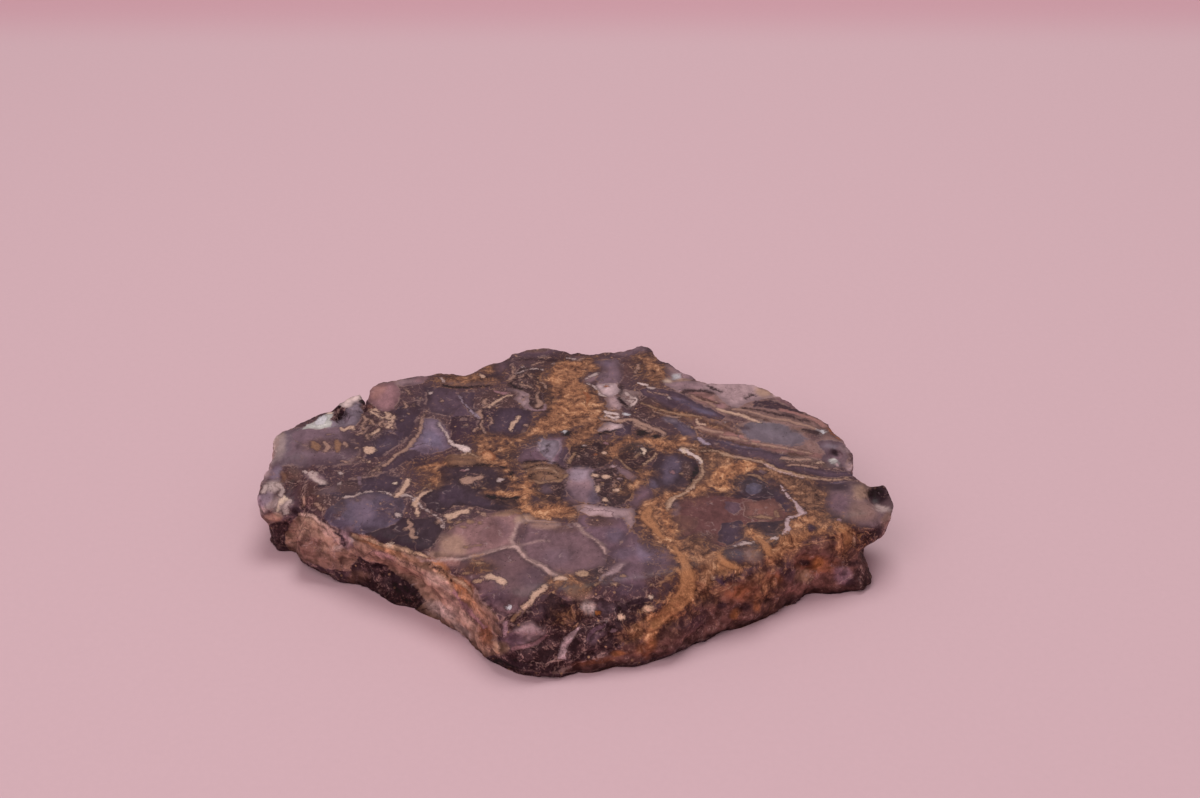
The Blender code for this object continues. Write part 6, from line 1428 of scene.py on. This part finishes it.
    def paint_lines(self):
        """Thin veins in the moss, a shade inside the cells' edges, and their broken outlines."""
        line = self.mix(self.warm, shown(COOL_LINE), shown(WARM_LINE))
        thin = self.times(self.vein(VEIN_SIZE, 0.018, 83), self.range(self.moss, 0.15, 0.7))
        self.lay(line, thin, self.range(self.patterns["grain"], 0.4, 0.56, 0.1, 0.8))
        self.lay(shown(CELL_SHADE), self.side, self.range(self.edge, -3.0, -0.4, 0, 0.4))
        near_edge = self.range(self.math("ABSOLUTE", self.edge), 0.35, 0.08)
        self.lay(line, near_edge, self.range(self.patterns["cloud"], 0.46, 0.6, 0.0, 0.6))

    def paint_specks(self):
        """Pale flecks in the moss, and dark dust everywhere."""
        flecks = self.times(self.specks(FLECK_SIZE, 0.19, 0.35, 3), self.range(self.moss, 0.1, 0.6))
        self.lay(shown(FLECK), flecks, 0.7)
        self.lay(shown(DUST), self.specks(DUST_SIZE, 0.18, 0.3, 17), 0.6)

    def paint_gold(self):
        """Gold moss in a brown haze, with dark threads."""
        tone = self.mottled(self.drawn("gold_tone", 0.5), cloud=1.2)
        strand = self.mottled(self.depth, blotch=3.0, grain=1.1)
        self.gold = self.range(strand, -0.7, 0.8)
        # Painted light and shade of the gold's grains: where each grain falls between its shaded and lit
        # colours.
        painted_grain_light = self.mottled(0.47, fibre=0.6, grain=0.3, blotch=1.6, cloud=0.7, fine=0.4)
        self.lay(self.ramp(painted_grain_light, BROWN_HAZE), self.range(strand, -3.0, 0.4, 0, 0.7))
        self.lay(self.mix(tone, self.ramp(painted_grain_light, OLIVE_GOLD), self.ramp(painted_grain_light, OCHRE_GOLD)), self.gold)
        self.lay(shown(GOLD_THREAD), self.times(self.vein(THREAD_SIZE, 0.02, 97), self.gold), 0.55)

    def paint_marks(self):
        """The drawing's strokes, dots and blots, each in a thin dark rim."""
        edge = self.mottled(self.drawn("mark_away", FAR), grain=1.2, fine=0.6, blotch=0.8)
        self.marked = self.range(edge, 0.24, -0.2)
        brightness = self.mottled(1.0, grain=1.3, fine=0.9, blotch=0.8)
        colour = self.mix(1.0, self.attribute("mark_colour", "Color"), brightness, "MULTIPLY")
        self.lay(shown(MARK_RIM), self.range(edge, 0.6, 0.1, 0, 0.4))
        self.lay(colour, self.marked, 0.92)

    def paint_wall_light_and_shade(self):
        """Painted light and shade on the walls: brighter overall to make up for the light they lack, paler
        ridges and darker hollows over the lumps, streaks along the beds, and a darker foot as painted
        contact shade.
        """
        lift = self.total(self.times(self.attribute("lift"), 0.8), 0.5)
        # Painted light: the walls are made brighter than their own colour, paler on the lumps and darker
        # between them; the beds streak it.
        relief = self.range(self.mottled(lift, grain=0.9, blotch=0.7, beds=1.5), 0.0, 1.0, 0.78, 1.9)
        # Painted contact shade: darker towards the foot of the walls.
        skin = self.times(relief, self.range(self.height, 0.0, 3.4, 0.4, 1.0))
        broken = self.times(self.wall, self.range(self.gold, 0.0, 1.0, 1.0, 0.5))
        self.colour = self.mix(1.0, self.colour, self.mix(broken, (1.0, 1.0, 1.0), skin), "MULTIPLY")

    def polish(self):
        """Sheen and fine relief: duller and grainier on moss, marks, rim and walls."""
        granular = self.math("MAXIMUM", self.math("MAXIMUM", self.gold, self.cover), self.marked)
        rough = self.total(PLAIN_ROUGH, self.times(granular, MOSS_ROUGH))
        rough = self.total(rough, self.times(self.drawn("rim"), RIM_ROUGH))
        normal = self.bump(self.patterns["cloud"], 0.05, 0.25)
        pits = self.total(self.noise(PIT_SIZE, 5, 0.7, shift=61), self.times(self.patterns["beds"], 0.6))
        normal = self.bump(pits, 0.35, self.range(self.wall, 0, 1, 0.03, 0.8), normal)
        grit = self.total(self.patterns["grain"], self.times(self.patterns["fine"], 0.5))
        gritty = self.total(self.times(granular, 0.4), self.times(self.wall, 0.4), 0.04)
        self.surface.inputs["IOR"].default_value = REFRACTION
        self.surface.inputs["Specular IOR Level"].default_value = GLOSS
        colour = self.mix(1.0, self.colour, GLOSS_VEIL, "SUBTRACT")
        return self.finish(colour, self.mottled(rough, fine=0.16), self.bump(grit, 0.12, gritty, normal))


def agate_material():
    stone = Agate()
    stone.paint_clear_stone()
    stone.paint_moss()
    stone.paint_lines()
    stone.paint_specks()
    stone.paint_gold()
    stone.paint_marks()
    stone.paint_wall_light_and_shade()
    return stone.polish()


FLOOR_NEAR, FLOOR_FAR = (209.5, 174, 181), (206, 158, 168)
FLOOR_TURNS = 235, 275      # where the floor turns darker and pinker behind the stone, mm


def floor_material():
    """A dull sheet of fine fibres."""
    r = Recipe("floor")
    fibre = r.noise(1.2, 4, 0.6)
    base = r.mix(r.range(r.position("Y"), *FLOOR_TURNS), shown(FLOOR_NEAR), shown(FLOOR_FAR))
    grain = r.total(r.times(fibre, 0.06), 0.97)
    colour = r.mix(1.0, base, grain, "MULTIPLY")
    rough = r.total(r.times(fibre, 0.1), 0.8)
    r.surface.inputs["Specular IOR Level"].default_value = 0.2
    return r.finish(colour, rough, r.bump(fibre, 0.05, 0.3))


mesh.materials.append(agate_material())

# Stage: floor, light and camera.

FLOOR_HALF = 1.6            # half the sheet's side, m
SKY_COLOUR, SKY_STRENGTH = (1.0, 0.84, 0.89), 0.4

floor_mesh = bpy.data.meshes.new("floor")
corners = [(x * FLOOR_HALF, y * FLOOR_HALF, 0) for x, y in ((-1, -1), (1, -1), (1, 1), (-1, 1))]
floor_mesh.from_pydata(corners, [], [(0, 1, 2, 3)])
floor_mesh.materials.append(floor_material())
floor = bpy.data.objects.new("floor", floor_mesh)
bpy.context.scene.collection.objects.link(floor)


def soft_light(name, place, size, power, colour):
    """A round lamp that shines on the stone, its place and size in metres and its power in watts."""
    lamp = bpy.data.lights.new(name, "AREA")
    lamp.shape = "DISK"
    lamp.size, lamp.energy, lamp.color = size, power, colour
    holder = bpy.data.objects.new(name, lamp)
    holder.location = place
    holder.rotation_euler = (-Vector(place)).to_track_quat("-Z", "Y").to_euler()
    bpy.context.scene.collection.objects.link(holder)


soft_light("overhead", place=(0.08, 0.28, 0.94), size=0.56, power=4.6, colour=(0.92, 1.0, 0.97))
soft_light("front", place=(-0.3, -0.58, 0.74), size=0.9, power=3.6, colour=(1.0, 0.94, 0.94))

bpy.context.scene.view_settings.view_transform = "Standard"
world = bpy.context.scene.world or bpy.data.worlds.new("world")
bpy.context.scene.world = world
world.use_nodes = True
sky = world.node_tree.nodes["Background"]
sky.inputs["Color"].default_value = (*SKY_COLOUR, 1)
sky.inputs["Strength"].default_value = SKY_STRENGTH

lens = bpy.data.cameras.new("camera")
lens.lens, lens.sensor_width = CAMERA_LENS, CAMERA_SENSOR
camera = bpy.data.objects.new("camera", lens)
camera.location = (CAMERA_AT + DRAWING_SHIFT) * MM
camera.rotation_euler = (math.radians(90 - CAMERA_PITCH), 0, 0)
bpy.context.scene.collection.objects.link(camera)
bpy.context.scene.camera = camera

# What stands for what.
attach(slab, "root")
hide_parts("agate_slab")
